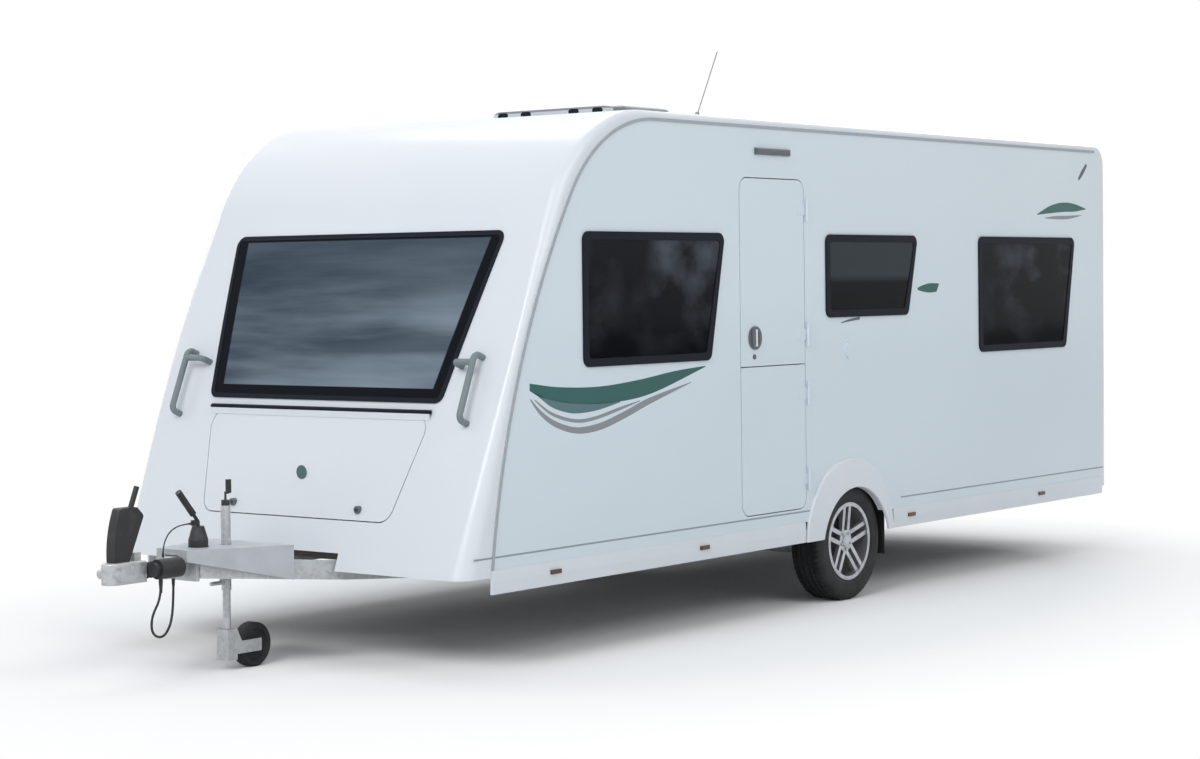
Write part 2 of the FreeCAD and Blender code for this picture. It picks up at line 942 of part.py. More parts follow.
def front_panel():
    outline = [nose.foot, Bend(nose.low, -1), nose.at(d.nose_waist_z), Bend(nose.low, -1)]
    outline += nose.up()[2:] + [(joint_y, roof_z), (joint_y, d.side_top_z)]
    outline += cheek.down(cheek.at(d.nose_foot_z))
    raw = prism("front raw", "YZ", outline, (-half_width, half_width))
    waist_z = float(d.nose_waist_z)
    knee_z = float(nose.knee[1])
    crown_y = float(nose.crown[0])

    def radii(edge):
        middle = edge.valueAt((edge.FirstParameter + edge.LastParameter) / 2)
        if edge.BoundBox.XLength > float(d.snap) or not on_nose(middle):
            return None
        if middle.z < waist_z:
            return (d.edge_low_radius, d.edge_waist_radius)
        if middle.z < knee_z:
            return (d.edge_waist_radius, d.edge_knee_radius)
        if middle.y < crown_y:
            return (d.edge_knee_radius, d.edge_roof_radius)
        return d.edge_roof_radius

    skin = rounded("front skin", raw, radii)
    inside = nose.inset(d.wall_thickness)
    over = d.cut_overrun
    hollow_outline = inside.up() + [
        (joint_y + over, inside.crown[1]),
        (joint_y + over, d.nose_foot_z - over * 2),
        (inside.foot[0], d.nose_foot_z - over * 2),
    ]
    hollow_raw = prism("front hollow raw", "YZ", hollow_outline, (-inner_x, inner_x))

    def inside_radii(edge):
        middle = edge.valueAt((edge.FirstParameter + edge.LastParameter) / 2)
        if edge.BoundBox.XLength > float(d.snap) or middle.z < float(inside.foot[1]):
            return None
        on_front = middle.y < crown_y and middle.z < float(inside.crown[1])
        return d.nose_inside_radius if on_front and middle.y < float(joint_y) else None

    hollow = rounded("front hollow", hollow_raw, inside_radii)
    window = front_prism("front window hole", front_window_outline(ZERO), d.front_window_corner)
    lid = front_prism("lid hole", lid_outline(d.run_gap), d.lid_corner + d.run_gap)
    notch_half = leg_centre_x(foot_y + d.notch_depth) + d.rail_flange / 2 + d.run_gap
    notch = block(
        "drawbar notch", (-notch_half, notch_half), (foot_y - over, joint_y), (d.nose_foot_z - over, d.notch_top_z)
    )
    node("front_panel", cut("front", skin, hollow, window, lid, notch))


def on_nose(point):
    """Whether a point lies on the nose curve or on the roof behind it."""
    snap = float(d.snap)
    if point.z <= float(nose.foot[1]):
        return False
    if point.z <= float(nose.knee[1]):
        return abs(point.y - float(nose.at(as_size(point.z))[0])) < snap
    if point.y >= float(nose.crown[0]):
        return abs(point.z - float(roof_z)) < snap
    centre = (float(nose.crown[0]), float(roof_z) - float(nose.high))
    return abs(math.hypot(point.y - centre[0], point.z - centre[1]) - float(nose.high)) < snap


def front_window_outline(grow):
    foot_half = half_width - d.front_window_foot_inset
    top_half = half_width - d.front_window_top_inset
    return front_quad(foot_half, top_half, d.front_window_foot_z, d.side_top_z - d.front_window_top_drop, grow)


def lid_outline(grow):
    return front_quad(half_width - d.lid_foot_inset, half_width - d.lid_head_inset, d.lid_foot_z, d.lid_head_z, grow)


def side_outline():
    rear = rear_wall_y
    corner = d.side_rear_corner
    hole = arch_radius + d.arch_lip
    rise = d.side_foot_z - arch_centre_z
    reach = root(hole * hole - rise * rise)
    return cheek.up(cheek.at(d.side_foot_z)) + [
        (rear - corner, d.side_top_z), Bend(corner, -1),
        (rear, d.side_top_z - corner),
        (rear, d.side_foot_z),
        (arch_y + reach, d.side_foot_z), Bend(hole, 1),
        (arch_y, arch_centre_z + hole), Bend(hole, 1),
        (arch_y - reach, d.side_foot_z),
    ]


LEFT_WINDOWS = ("lounge", "kitchen", "bedroom")
RIGHT_WINDOWS = ("lounge", "bedroom")


def window_span(name):
    """A side window's front and rear edges."""
    if name == "lounge":
        return foot_y + d.lounge_front_set, door_front_y - d.lounge_door_set
    start = door_rear_y + d.kitchen_door_set
    end = tail_y - d.bedroom_tail_set
    if name == "kitchen":
        return start, start + (end - start) * d.kitchen_rear_share
    return start + (end - start) * d.bedroom_front_share, end


def window_outline(name, grow=ZERO):
    front, rear = window_span(name)
    sill = window_head_z - getattr(d, name + "_height")
    return quad(front, rear, getattr(d, name + "_slant"), sill, window_head_z, grow)


def window_hole(name, x, grow, corner):
    """A prism along X with a side window's outline and rounded corners."""
    raw = prism(name + " opening raw", "YZ", window_outline(name, grow), x)
    return rounded(name + " opening", raw, along("x", corner))


def side_walls():
    through = (inner_x - d.cut_overrun, half_width + d.cut_overrun)
    door = prism("door hole", "YZ", door_outline(d.door_foot_z, door_head_z, d.run_gap), through)
    holes = [window_hole(name, through, ZERO, d.window_corner) for name in LEFT_WINDOWS]
    wall = prism("left wall raw", "YZ", side_outline(), (inner_x, half_width))
    node("side_wall_left", cut("left wall", wall, door, *holes))
    holes = [window_hole(name, through, ZERO, d.window_corner) for name in RIGHT_WINDOWS]
    holes.append(prism("service hole", "YZ", service_outline(d.run_gap), through))
    wall = prism("right wall raw", "YZ", side_outline(), (inner_x, half_width))
    node("side_wall_right", mirrored("right wall", cut("right wall cut", wall, *holes)))


def door_outline(foot, head, grow, round_foot=True, round_head=True):
    """A door leaf or hole: rounded where it ends the doorway, square at the split."""
    front = door_front_y - grow
    rear = door_rear_y + grow
    corner = d.door_corner + grow
    low = foot - grow
    top = head + grow
    foot_corners = [(front, low), (rear, low)]
    head_corners = [(rear, top), (front, top)]
    closing = []
    if round_foot:
        foot_corners = [(front + corner, low), (rear - corner, low), Bend(corner, 1), (rear, low + corner)]
        closing = [(front, low + corner), Bend(corner, 1)]
    if round_head:
        head_corners = [
            (rear, top - corner), Bend(corner, 1), (rear - corner, top),
            (front + corner, top), Bend(corner, 1), (front, top - corner),
        ]
    return foot_corners + head_corners + closing


def service_outline(grow):
    return rounded_box_outline(
        (tail_y - d.service_front_set - grow, tail_y - d.service_rear_set + grow),
        (d.service_foot_z - grow, d.service_head_z + grow),
        d.service_corner + grow,
    )


def roof_panel():
    slab = block("roof raw", (-half_width, half_width), (joint_y, tail_joint_y), (d.side_top_z, roof_z))
    soft = rounded("roof edges", slab, along("y", d.edge_roof_radius, lambda middle: middle.z > float(d.side_top_z)))
    hole = light_block("rooflight hole", d.light_rim, (d.side_top_z - d.cut_overrun, roof_z + d.cut_overrun))
    node("roof_panel", cut("roof", soft, hole))


def tail_outline(inset, foot, far):
    """The rear moulding's side view, moved inwards; far is where it stops in front."""
    corner = d.tail_corner - inset
    return [
        (far, roof_z - inset), (tail_y - d.tail_corner, roof_z - inset), Bend(corner, -1),
        (tail_y - inset, roof_z - d.tail_corner), (tail_y - inset, foot),
    ]


def rear_panel():
    corner = d.side_rear_corner
    outline = tail_outline(ZERO, d.tail_foot_z, tail_joint_y) + [
        (rear_wall_y, d.tail_foot_z), (rear_wall_y, d.side_top_z - corner), Bend(corner, 1),
        (rear_wall_y - corner, d.side_top_z), (tail_joint_y, d.side_top_z),
    ]
    raw = prism("rear raw", "YZ", outline, (-half_width, half_width))
    corner_y = float(tail_y - d.tail_corner)
    corner_z = float(roof_z - d.tail_corner)

    snap = float(d.snap)

    def radii(edge):
        if edge.BoundBox.XLength > snap:
            return None
        middle = edge.valueAt((edge.FirstParameter + edge.LastParameter) / 2)
        if abs(middle.z - float(roof_z)) < snap:
            return d.edge_roof_radius
        if abs(middle.y - float(tail_y)) < snap:
            return d.edge_tail_radius
        on_corner = abs(math.hypot(middle.y - corner_y, middle.z - corner_z) - float(d.tail_corner)) < snap
        return (d.edge_tail_radius, d.edge_roof_radius) if on_corner and middle.y > corner_y else None

    skin = rounded("rear skin", raw, radii)
    over = d.cut_overrun
    hollow_outline = tail_outline(d.wall_thickness, d.tail_foot_z - over, tail_joint_y - over)
    hollow_outline.append((tail_joint_y - over, d.tail_foot_z - over))
    hollow = prism("rear hollow", "YZ", hollow_outline, (-inner_x, inner_x))
    window = tail_prism("rear window hole", ZERO, (rear_wall_y - over, tail_y + over))
    recess = pair("lamp recess", rear_lamp("lamp recess left", d.seat_gap, over))
    node("rear_panel", cut("rear", skin, hollow, window, recess))


def rear_lamp(label, grow, out):
    """A lamp's block, rounded as seen from behind, that ends flush with the rear face or beyond it."""
    half = d.lamp_half_width + grow
    x = half_width - d.lamp_inset
    raw = block(
        label + " raw",
        (x - half, x + half),
        (tail_y - d.lamp_depth - grow, tail_y + out),
        (d.lamp_foot_z - grow, d.lamp_head_z + grow),
    )
    return rounded(label, raw, along("y", d.lamp_half_width / 2 + grow))


def tail_prism(label, grow, y):
    half = half_width - d.tail_window_inset + grow
    head = d.side_top_z - d.tail_window_drop
    outline = rounded_box_outline(
        (-half, half), (head - d.tail_window_height - grow, head + grow), d.window_corner + grow
    )
    return prism(label, "XZ", outline, y)


def floor_and_skirts():
    raw = block("floor raw", (-inner_x, inner_x), (floor_front_y, floor_rear_y), (d.floor_foot_z, d.floor_top_z))
    middle_y = float(axle_y)
    slab = rounded("floor corners", raw, along("z", d.nose_inside_radius, lambda middle: middle.y < middle_y))
    y = wheel_box_y(ZERO)
    z = (d.floor_foot_z - d.cut_overrun, d.floor_top_z + d.cut_overrun)
    left = block("floor cut left", (box_inner_x, half_width), y, z)
    right = block("floor cut right", (-half_width, -box_inner_x), y, z)
    node("floor_panel", cut("floor", slab, left, right))
    out = half_width + d.skirt_proud
    sheet = d.skirt_sheet
    low = d.skirt_foot_z
    top = d.side_foot_z
    middle = (low + top) / 2
    section = [
        (inner_x, top), (out, top), (out + d.skirt_bulge - sheet / 2, middle), (out, low), (out - sheet, low),
        (out + d.skirt_bulge - sheet * 3 / 2, middle), (out - sheet, top - sheet), (inner_x, top - sheet),
    ]
    section.reverse()
    reach = bow_reach()
    start = cheek.at(d.side_foot_z)[0] + d.seat_gap
    front = prism("skirt front", "XZ", section, (start, bow_y - reach - d.run_gap))
    rear = prism("skirt rear", "XZ", section, (bow_y + reach + d.run_gap, rear_wall_y))
    node("skirts", pair("skirt set", gather("skirts left", front, rear)))


def bow_reach():
    """Half the arch moulding's length at the skirts' foot."""
    drop = bow_z - d.skirt_foot_z
    return root(bow_radius * bow_radius - drop * drop)


def wheel_box_y(grow):
    half = d.tyre_radius + d.box_end_room + grow
    return axle_y - half, axle_y + half


def box_head_z():
    return d.tyre_radius * 2 + d.box_head_room


def wheel_boxes():
    sheet = d.box_sheet
    head = box_head_z()
    outer = block("box outer", (box_inner_x, inner_x), wheel_box_y(ZERO), (d.floor_foot_z, head))
    void = block(
        "box void",
        (box_inner_x + sheet, half_width),
        wheel_box_y(-sheet),
        (d.floor_foot_z - d.cut_overrun, head - sheet),
    )
    node("wheel_boxes", pair("wheel box set", cut("wheel box", outer, void)))


def arch_mouldings():
    reach = bow_reach()
    rise = d.skirt_foot_z - arch_centre_z
    inner_reach = root(arch_radius * arch_radius - rise * rise)
    bow = [
        (bow_y + reach, d.skirt_foot_z), Bend(bow_radius, 1),
        (bow_y, bow_z + bow_radius), Bend(bow_radius, 1),
        (bow_y - reach, d.skirt_foot_z), (arch_y - inner_reach, d.skirt_foot_z), Bend(arch_radius, -1),
        (arch_y, arch_centre_z + arch_radius), Bend(arch_radius, -1),
        (arch_y + inner_reach, d.skirt_foot_z),
    ]
    raw = prism("arch raw", "YZ", bow, (half_width, half_width + d.arch_proud))
    outer_x = float(half_width + d.arch_proud)

    def outer_arcs(edge):
        on_face = outer_x - edge.BoundBox.XMin < float(d.snap)
        return d.arch_edge if on_face and edge.Curve.TypeId == "Part::GeomCircle" else None

    face = rounded("arch face", raw, outer_arcs)
    lip_top = arch_radius + d.arch_lip - d.seat_gap
    foot = d.side_foot_z
    climb = foot - arch_centre_z
    wide = root(lip_top * lip_top - climb * climb)
    narrow = root(arch_radius * arch_radius - climb * climb)
    lip_outline = [
        (arch_y + wide, foot), Bend(lip_top, 1), (arch_y, arch_centre_z + lip_top), Bend(lip_top, 1),
        (arch_y - wide, foot), (arch_y - narrow, foot), Bend(arch_radius, -1),
        (arch_y, arch_centre_z + arch_radius), Bend(arch_radius, -1), (arch_y + narrow, foot),
    ]
    lip = prism("arch lip", "YZ", lip_outline, (inner_x, half_width))
    node("arch_mouldings", pair("arch set", fuse("arch", face, lip)))


def edge_rails():
    inside = cheek.inset(d.rail_width)
    end = rear_wall_y - d.side_rear_corner
    outline = cheek.up(cheek.at(d.side_foot_z)) + [(end, d.side_top_z), (end, inside.crown[1])]
    outline += inside.down(inside.at(d.side_foot_z))
    rail = prism("rail", "YZ", outline, (half_width, half_width + d.rail_proud))
    node("edge_rails", pair("rail set", rail))


# Windows


def side_windows(side, names):
    """Frames that clip over the wall's edge, and the panes that hinge out of them."""
    frames = []
    panes = []
    for name in names:
        flange = window_hole(name, (half_width, half_width + d.window_proud), d.window_flange, d.window_corner)
        sleeve = window_hole(name, (inner_x, half_width), -d.seat_gap, d.window_corner)
        void = window_hole(
            name, (inner_x - d.cut_overrun, half_width + d.cut_overrun), -d.window_border, d.window_corner / 2
        )
        frames.append(cut(name + " frame", fuse(name + " frame solid", flange, sleeve), void))
        pane = window_hole(
            name, (half_width - d.pane_back, half_width + d.pane_front), -d.window_border, d.window_corner / 2
        )
        panes.append(pane)
    frames = gather("frames " + side, *frames)
    panes = gather("panes " + side, *panes)
    if side == "right":
        frames = mirrored("frames mirrored", frames)
        panes = mirrored("panes mirrored", panes)
    return frames, panes


def front_window():
    band = nose_band("window band", d.front_window_proud, d.front_pane_thick)
    whole = front_prism("front window cutter", front_window_outline(-d.seat_gap), d.front_window_corner)
    hole = front_prism("front pane cutter", front_window_outline(-d.window_border), d.front_window_corner / 2)
    frame = cut("front frame", common("front frame slab", band, whole), hole)
    pane_band = nose_band("pane band", d.front_window_proud - d.window_rebate, d.front_pane_thick - d.window_rebate)
    node("window_front", common("front pane", pane_band, hole))
    return frame


def rear_window():
    frame = tail_prism("rear frame solid", -d.seat_gap, (tail_y - d.wall_thickness, tail_y))
    hole = tail_prism("rear frame hole", -d.window_border, (rear_wall_y, tail_y + d.cut_overrun))
    node("window_rear", tail_prism("rear pane", -d.window_border, (tail_y - d.pane_back, tail_y - d.window_rebate)))
    return cut("rear frame", frame, hole)


def windows():
    left_frames, left_panes = side_windows("left", LEFT_WINDOWS)
    right_frames, right_panes = side_windows("right", RIGHT_WINDOWS)
    node("side_windows", gather("side panes", left_panes, right_panes))
    node("window_frames", gather("frame set", left_frames, right_frames, front_window(), rear_window()))


# Doors and lids


def door_hinge_axis():
    return half_width + d.door_hinge_out, door_rear_y + d.door_hinge_gap


def knuckle(label, x, y, low, high, towards, edge=None):
    """A hinge barrel on an upright axis with the leaf that ties it to the face beside it.

    A leaf that moves is given the edge of its own panel, past which it stands clear of the wall.
    """
    barrel = rod(label + " barrel", "z", (x, y, low), high - low, d.knuckle_radius)
    sheet = d.leaf_sheet
    start = half_width if edge is None else half_width + d.seat_gap
    neck = block(label + " neck", (start, x), (y - sheet / 2, y + sheet / 2), (low, high))
    if edge is None:
        leaf = block(label + " leaf", (half_width, half_width + sheet), (y, towards), (low, high))
        return fuse(label, barrel, neck, leaf)
    leaf = block(label + " leaf", (half_width, half_width + sheet), (towards, edge), (low, high))
    bridge = block(label + " bridge", (start, start + sheet), (edge - sheet * 2, y), (low, high))
    return fuse(label, barrel, neck, leaf, bridge)


def door_handle():
    """A round plate with an upright grip across it."""
    y = door_front_y + d.handle_set
    z = d.door_split_z + d.handle_rise
    plate = rod("handle plate", "x", (half_width, y, z), d.handle_depth, d.handle_radius)
    grip = block(
        "handle grip", (half_width, half_width + d.handle_grip_depth), (y - d.handle_grip, y + d.handle_grip),
        (z - d.handle_radius, z + d.handle_radius)
    )
    return plate, grip


def door():
    x, y = door_hinge_axis()
    gap = d.run_gap / 2
    length = d.knuckle_length
    leaves = {
        "door_lower": (d.door_foot_z, d.door_split_z - gap, True, False),
        "door_upper": (d.door_split_z + gap, door_head_z, False, True),
    }
    posts = []
    for name, (foot, head, round_foot, round_head) in leaves.items():
        outline = door_outline(foot, head, ZERO, round_foot, round_head)
        pieces = [prism(name + " leaf", "YZ", outline, (inner_x, half_width))]
        for low in (foot + d.knuckle_edge, head - d.knuckle_edge - length):
            inward = door_rear_y - d.knuckle_edge / 2
            pieces.append(knuckle(name + " knuckle", x, y, low, low + length, inward, door_rear_y))
            for start in (low - d.seat_gap - length / 2, low + length + d.seat_gap):
                posts.append(knuckle(name + " post", x, y, start, start + length / 2, y + d.knuckle_edge / 4))
        if name == "door_upper":
            pieces += door_handle()
        node(name, fuse(name, *pieces))
    return posts


def awning_light():
    middle = (door_rear_y + door_front_y) / 2
    half = d.awning_light_length / 2
    z = door_head_z + d.awning_light_rise
    outer_x = half_width + d.awning_light_proud
    raw = block("awning light raw", (half_width, outer_x), (middle - half, middle + half), (z, z + d.awning_light_height))
    outer = float(outer_x)

    def outer_edges(edge):
        return d.awning_light_height / 3 if outer - edge.CenterOfMass.x < float(d.snap) else None

    node("awning_light", rounded("awning light", raw, outer_edges))


def lid_hinge_axis():
    y = nose.inset(-d.lid_hinge_radius - d.seat_gap).at(d.lid_hinge_z)[0]
    return y, d.lid_hinge_z


def locker_lid():
    y, z = lid_hinge_axis()
    band = nose_band("lid band", ZERO, d.wall_thickness)
    cutter = front_prism("lid cutter", lid_outline(ZERO), d.lid_corner)
    pieces = [common("lid slab", band, cutter)]
    half = half_width - d.lid_hinge_inset
    step = half * 2 / HINGE_RAILS
    rails = []
    for index in range(HINGE_RAILS):
        start = step * index - half
        barrel = rod("lid barrel", "x", (start + d.seat_gap, y, z), step - d.seat_gap * 2, d.lid_hinge_radius)
        if index % 2:
            width = (start + d.seat_gap, start + step - d.seat_gap)
            foot = d.lid_head_z - d.leaf_sheet * 3
            neck = block("lid neck", width, (y - d.leaf_sheet / 2, y + d.leaf_sheet / 2), (foot, z))
            tongue = block(
                "lid tongue", width, (y - d.leaf_sheet / 2, y + d.lid_hinge_radius + d.wall_thickness / 2),
                (foot, foot + d.leaf_sheet)
            )
            pieces += [barrel, neck, tongue]
        else:
            rails.append(barrel)
    lock_x = half_width - d.lid_foot_inset - d.lock_set
    face = nose.at(d.lock_z)[0]
    for x in (-lock_x, lock_x):
        pieces.append(rod("lock", "y", (x, face - d.lock_proud, d.lock_z), d.lock_proud * 2, d.lock_radius))
    face = nose.at(d.boss_z)[0]
    pieces.append(rod("lid boss", "y", (ZERO, face - d.boss_proud * 2, d.boss_z), d.boss_proud * 4, d.boss_radius))
    node("locker_lid", fuse("lid", *pieces))
    node("lid_hinge", gather("lid hinge rails", *rails))


def locker_tub():
    shell = d.locker_shell
    inside = nose.inset(d.wall_thickness + d.run_gap)
    low = d.floor_top_z
    back = locker_back_y
    front_foot = inside.at(low)
    front_sill = inside.at(low + shell)
    top = d.locker_top_z
    front_top = inside.at(top)
    front_shelf = inside.at(top - shell)
    outline = [
        front_foot, (back, low), (back, top), front_top, front_shelf,
        (back - shell, top - shell), (back - shell, low + shell), front_sill,
    ]
    side = inner_x - d.nose_inside_radius
    node("locker_tub", prism("tub", "YZ", outline, (-side, side)))


def service_door():
    leaf = prism("service leaf", "YZ", service_outline(ZERO), (inner_x, half_width))
    x = half_width + d.door_hinge_out
    edge = tail_y - d.service_rear_set
    y = edge + d.door_hinge_gap
    length = d.knuckle_length
    middle = (d.service_foot_z + d.service_head_z - length) / 2
    hinge = knuckle("service knuckle", x, y, middle, middle + length, edge - d.knuckle_edge / 2, edge)
    posts = []
    for start in (middle - d.seat_gap - length / 2, middle + length + d.seat_gap):
        posts.append(knuckle("service post", x, y, start, start + length / 2, y + d.knuckle_edge / 4))
    node("service_door", mirrored("service door", fuse("service door left", leaf, hinge)))
    return mirrored("service hinge", gather("service posts", *posts))


# Rooflight and aerial


def light_outline(inset):
    half = d.light_half - inset
    return rounded_box_outline((-half, half), (light_front_y + inset, light_rear_y - inset), d.light_corner - inset / 2)


def light_block(label, inset, z):
    """A square-cornered block inside the rooflight's outline."""
    half = d.light_half - inset
    return block(label, (-half, half), (light_front_y + inset, light_rear_y - inset), z)


def light_cowl():
    """The wind deflector ahead of the dome, with its four blind oval ports."""
    half = d.light_half - d.cowl_inset
    front = light_front_y - d.cowl_reach
    rear = light_front_y - d.cowl_room
    top = roof_z + d.cowl_rise
    outline = [
        (front, roof_z), (rear, roof_z), (rear, top), (front + d.cowl_crest, top), (front, top - d.cowl_crest),
    ]
    raw = prism("cowl raw", "YZ", outline, (-half, half))
    mid_z = float(roof_z + d.cowl_rise / 2)
    solid = rounded("cowl", raw, along("y", d.cowl_corner, lambda middle: middle.z > mid_z))
    z = roof_z + d.cowl_port_rise
    ports = []
    for share in (-d.port_outer_share, -d.port_inner_share, d.port_inner_share, d.port_outer_share):
        x = half * share
        y = (front - d.run_gap, front + d.cowl_port_depth)
        length = y[1] - y[0]
        left = rod("port left", "y", (x - d.cowl_port_half, y[0], z), length, d.cowl_port_radius)
        right = rod("port right", "y", (x + d.cowl_port_half, y[0], z), length, d.cowl_port_radius)
        between = block(
            "port middle", (x - d.cowl_port_half, x + d.cowl_port_half), y,
            (z - d.cowl_port_radius, z + d.cowl_port_radius)
        )
        ports.append(fuse("port", left, right, between))
    foot = block("cowl foot", (-half, half), (rear - d.run_gap, light_front_y + d.light_rim / 2), (roof_z, roof_z + d.cowl_foot))
    return fuse("cowl with foot", cut("cowl with ports", solid, *ports), foot)


def rooflight():
    base_top = roof_z + d.light_base_rise
    plinth = prism("light plinth", "XY", light_outline(ZERO), (roof_z, base_top))
    sleeve = light_block("light sleeve", d.light_rim + d.seat_gap, (d.side_top_z, roof_z))
    way_inset = d.light_rim + d.light_dome_inset / 2
    hole = light_block("light way", way_inset, (d.side_top_z - d.cut_overrun, base_top + d.cut_overrun))
    radius = d.light_hinge_radius
    y = light_front_y + radius
    z = base_top + radius + d.seat_gap * 2
    step = d.light_half / 4
    posts = []
    knuckles = []
    for side in (-1, 1):
        centre = d.light_half / 2 * side
        for start in (centre - step, centre + step / 2 + d.seat_gap):
            width = step / 2 - d.seat_gap
            posts.append(rod("light post", "x", (start, y, z), width, radius))
            posts.append(
                block("light post foot", (start, start + width), (y - radius, y + radius), (base_top - radius, z))
            )
        start = centre - step / 2 + d.seat_gap
        knuckles.append(rod("light knuckle", "x", (start, y, z), step - d.seat_gap, radius))
        knuckles.append(
            block(
                "light arm", (start, centre + step / 2), (y, light_front_y + d.light_rim),
                (z - radius / 2, z + radius / 2)
            )
        )
    node("rooflight_base", cut("light base", fuse("light base solid", plinth, sleeve, light_cowl(), *posts), hole))
    foot = base_top + d.seat_gap
    inset = d.light_dome_inset
    top = base_top + d.light_dome_rise
    sheet = d.light_dome_sheet
    raw = prism("dome raw", "XY", light_outline(inset), (foot, top))
    soft = rounded("dome outside", raw, at_height(top, d.light_dome_edge))
    hollow_raw = prism("dome hollow raw", "XY", light_outline(inset + sheet), (foot - d.cut_overrun, top - sheet))
    hollow = rounded("dome hollow", hollow_raw, at_height(top - sheet, d.light_dome_edge - sheet))
    node("rooflight_dome", fuse("dome with hinges", cut("dome", soft, hollow), *knuckles))


def aerial():
    x = half_width - d.aerial_inset
    y = joint_y + d.aerial_set
    rise = d.aerial_base_rise
    profile = [(ZERO, ZERO), (ZERO, d.aerial_base_radius), (rise, d.aerial_base_radius / 2), (rise, ZERO)]
    base = turned("aerial base", "z", profile, (x, y, roof_z))
    start = (x, y, roof_z + rise / 2)
    tip = (x, y + d.aerial_length * sine(d.aerial_rake), start[2] + d.aerial_length * cosine(d.aerial_rake))
    node("aerial", fuse("aerial whole", base, pipe("aerial whip", [start, tip], [], d.aerial_whip)))


# Running gear


def both_ways(profile):
    """A profile's right half, given from the inside out, with its mirror image on the left."""
    return profile + [(-along_axis, radius) for along_axis, radius in reversed(profile)]


def spoke_star(face, inner):
    """Five pairs of spokes, trimmed to a dish that is hollow towards its middle."""
    back = face - d.hub_sink
    front = back + d.spoke_depth
    edge = inner + d.barrel_wall * d.bead_wall_share
    dish = turned(
        "dish", "x",
        [(back, ZERO), (face, edge), (face + d.rim_dish, edge), (front, d.hub_radius), (front, ZERO)],
        (ZERO, ZERO, ZERO),
    )
    fans = []
    rim_half = d.rim_width / 2
    for index in range(SPOKE_PAIRS):
        spokes = []
        for side in (-1, 1):
            near = d.spoke_spread / 2 * side - d.spoke_width / 2
            spokes.append(
                block(
                    "spoke", (-rim_half, rim_half), (near, near + d.spoke_width),
                    (d.hub_radius * d.hub_spoke_share, d.rim_radius)
                )
            )
        fan = gather("spoke pair", *spokes)
        fan.Placement = FreeCAD.Placement(Vector(0, 0, 0), Rotation(Vector(1, 0, 0), index * 360 / SPOKE_PAIRS))
        fans.append(fan)
    return common("spoke star", fuse("spoke fan", *fans), dish)


def alloy(at):
    """The rim's barrel and flanges, its spokes and a hub that is bored for the stub axle."""
    rim_half = d.rim_width / 2
    inner = d.rim_radius - d.barrel_wall
    flange = rim_half + d.flange_width
    seat_half = rim_half + d.seat_gap
    seat_radius = d.rim_radius - d.seat_gap
    barrel_profile = both_ways(
        [(flange, inner + d.barrel_wall / 2), (flange, d.flange_radius), (seat_half, d.flange_radius), (seat_half, seat_radius)]
    )
    face = rim_half - d.rim_dish
    drum_front = half_width - d.drum_back_inset + d.drum_width - wheel_x
    bore = d.stub_radius + d.bearing_gap
    stub_room = stub_end_x + d.run_gap - wheel_x
    hub_back = face - d.hub_sink
    hub_front = hub_back + d.spoke_depth
    cap_front = hub_front + d.hub_cap_proud
    hub_profile = [
        (drum_front, bore), (stub_room, bore), (stub_room, ZERO), (cap_front, ZERO), (cap_front, d.hub_cap_radius),
        (hub_front, d.hub_cap_radius), (hub_front, d.hub_radius), (hub_back, d.hub_radius),
        (drum_front, d.hub_radius - d.spoke_depth / 2),
    ]
    barrel = turned("barrel", "x", barrel_profile, (ZERO, ZERO, ZERO))
    hub = turned("hub", "x", hub_profile, (ZERO, ZERO, ZERO))
    bore_way = rod("hub bore", "x", (-d.tyre_width, ZERO, ZERO), stub_room + d.tyre_width, bore)
    return move(cut("alloy", fuse("alloy solid", barrel, spoke_star(face, inner), hub), bore_way), *at)


def wheels():
    half = d.tyre_width / 2
    rim_half = d.rim_width / 2
    shoulder = d.tyre_radius - d.shoulder_drop
    belly = (d.tyre_radius + d.bead_radius) * d.tyre_belly_share
    tyre_profile = both_ways(
        [
            (rim_half, d.rim_radius), (rim_half, d.bead_radius), (rim_half + d.flange_width / 2, d.bead_radius),
            (half, belly), (half - d.shoulder_drop / 2, shoulder - d.shoulder_drop), (d.tread_width / 2, d.tyre_radius),
        ]
    )
    at = (wheel_x, axle_y, d.tyre_radius)
    tyre = turned("tyre", "x", tyre_profile, at)
    bore = d.stub_radius + d.bearing_gap
    drum_profile = [
        (ZERO, bore), (d.drum_width, bore), (d.drum_width, d.drum_radius * d.drum_face_share),
        (d.drum_width * d.drum_edge_share, d.drum_radius), (ZERO, d.drum_radius),
    ]
    drum = turned("drum", "x", drum_profile, (half_width - d.drum_back_inset, axle_y, d.tyre_radius))
    for name, item in (("tyre", tyre), ("rim", alloy(at)), ("drum", drum)):
        node(name + "_right", mirrored(name + " right", item))
        node(name + "_left", item)


def axle():
    tube_y = axle_y - d.axle_ahead
    x = half_width - d.axle_tube_inset
    tube = rod("axle tube", "x", (-x, tube_y, axle_z), x * 2, d.axle_tube_radius)
    boss = rod("arm boss", "x", (x, tube_y, axle_z), d.arm_thick, d.arm_radius)
    eye = rod("arm eye", "x", (x, axle_y, d.tyre_radius), d.arm_thick, d.arm_radius)
    outline = [
        (tube_y, axle_z - d.arm_radius), (axle_y, d.tyre_radius - d.arm_radius),
        (axle_y, d.tyre_radius + d.arm_radius), (tube_y, axle_z + d.arm_radius),
    ]
    web = prism("arm web", "YZ", outline, (x, x + d.arm_thick))
    stub = rod("stub", "x", (x, axle_y, d.tyre_radius), stub_end_x - x, d.stub_radius)
    arm = fuse("arm", boss, eye, web, stub)
    node("axle_beam", fuse("axle", tube, arm, mirrored("arm right", arm)))


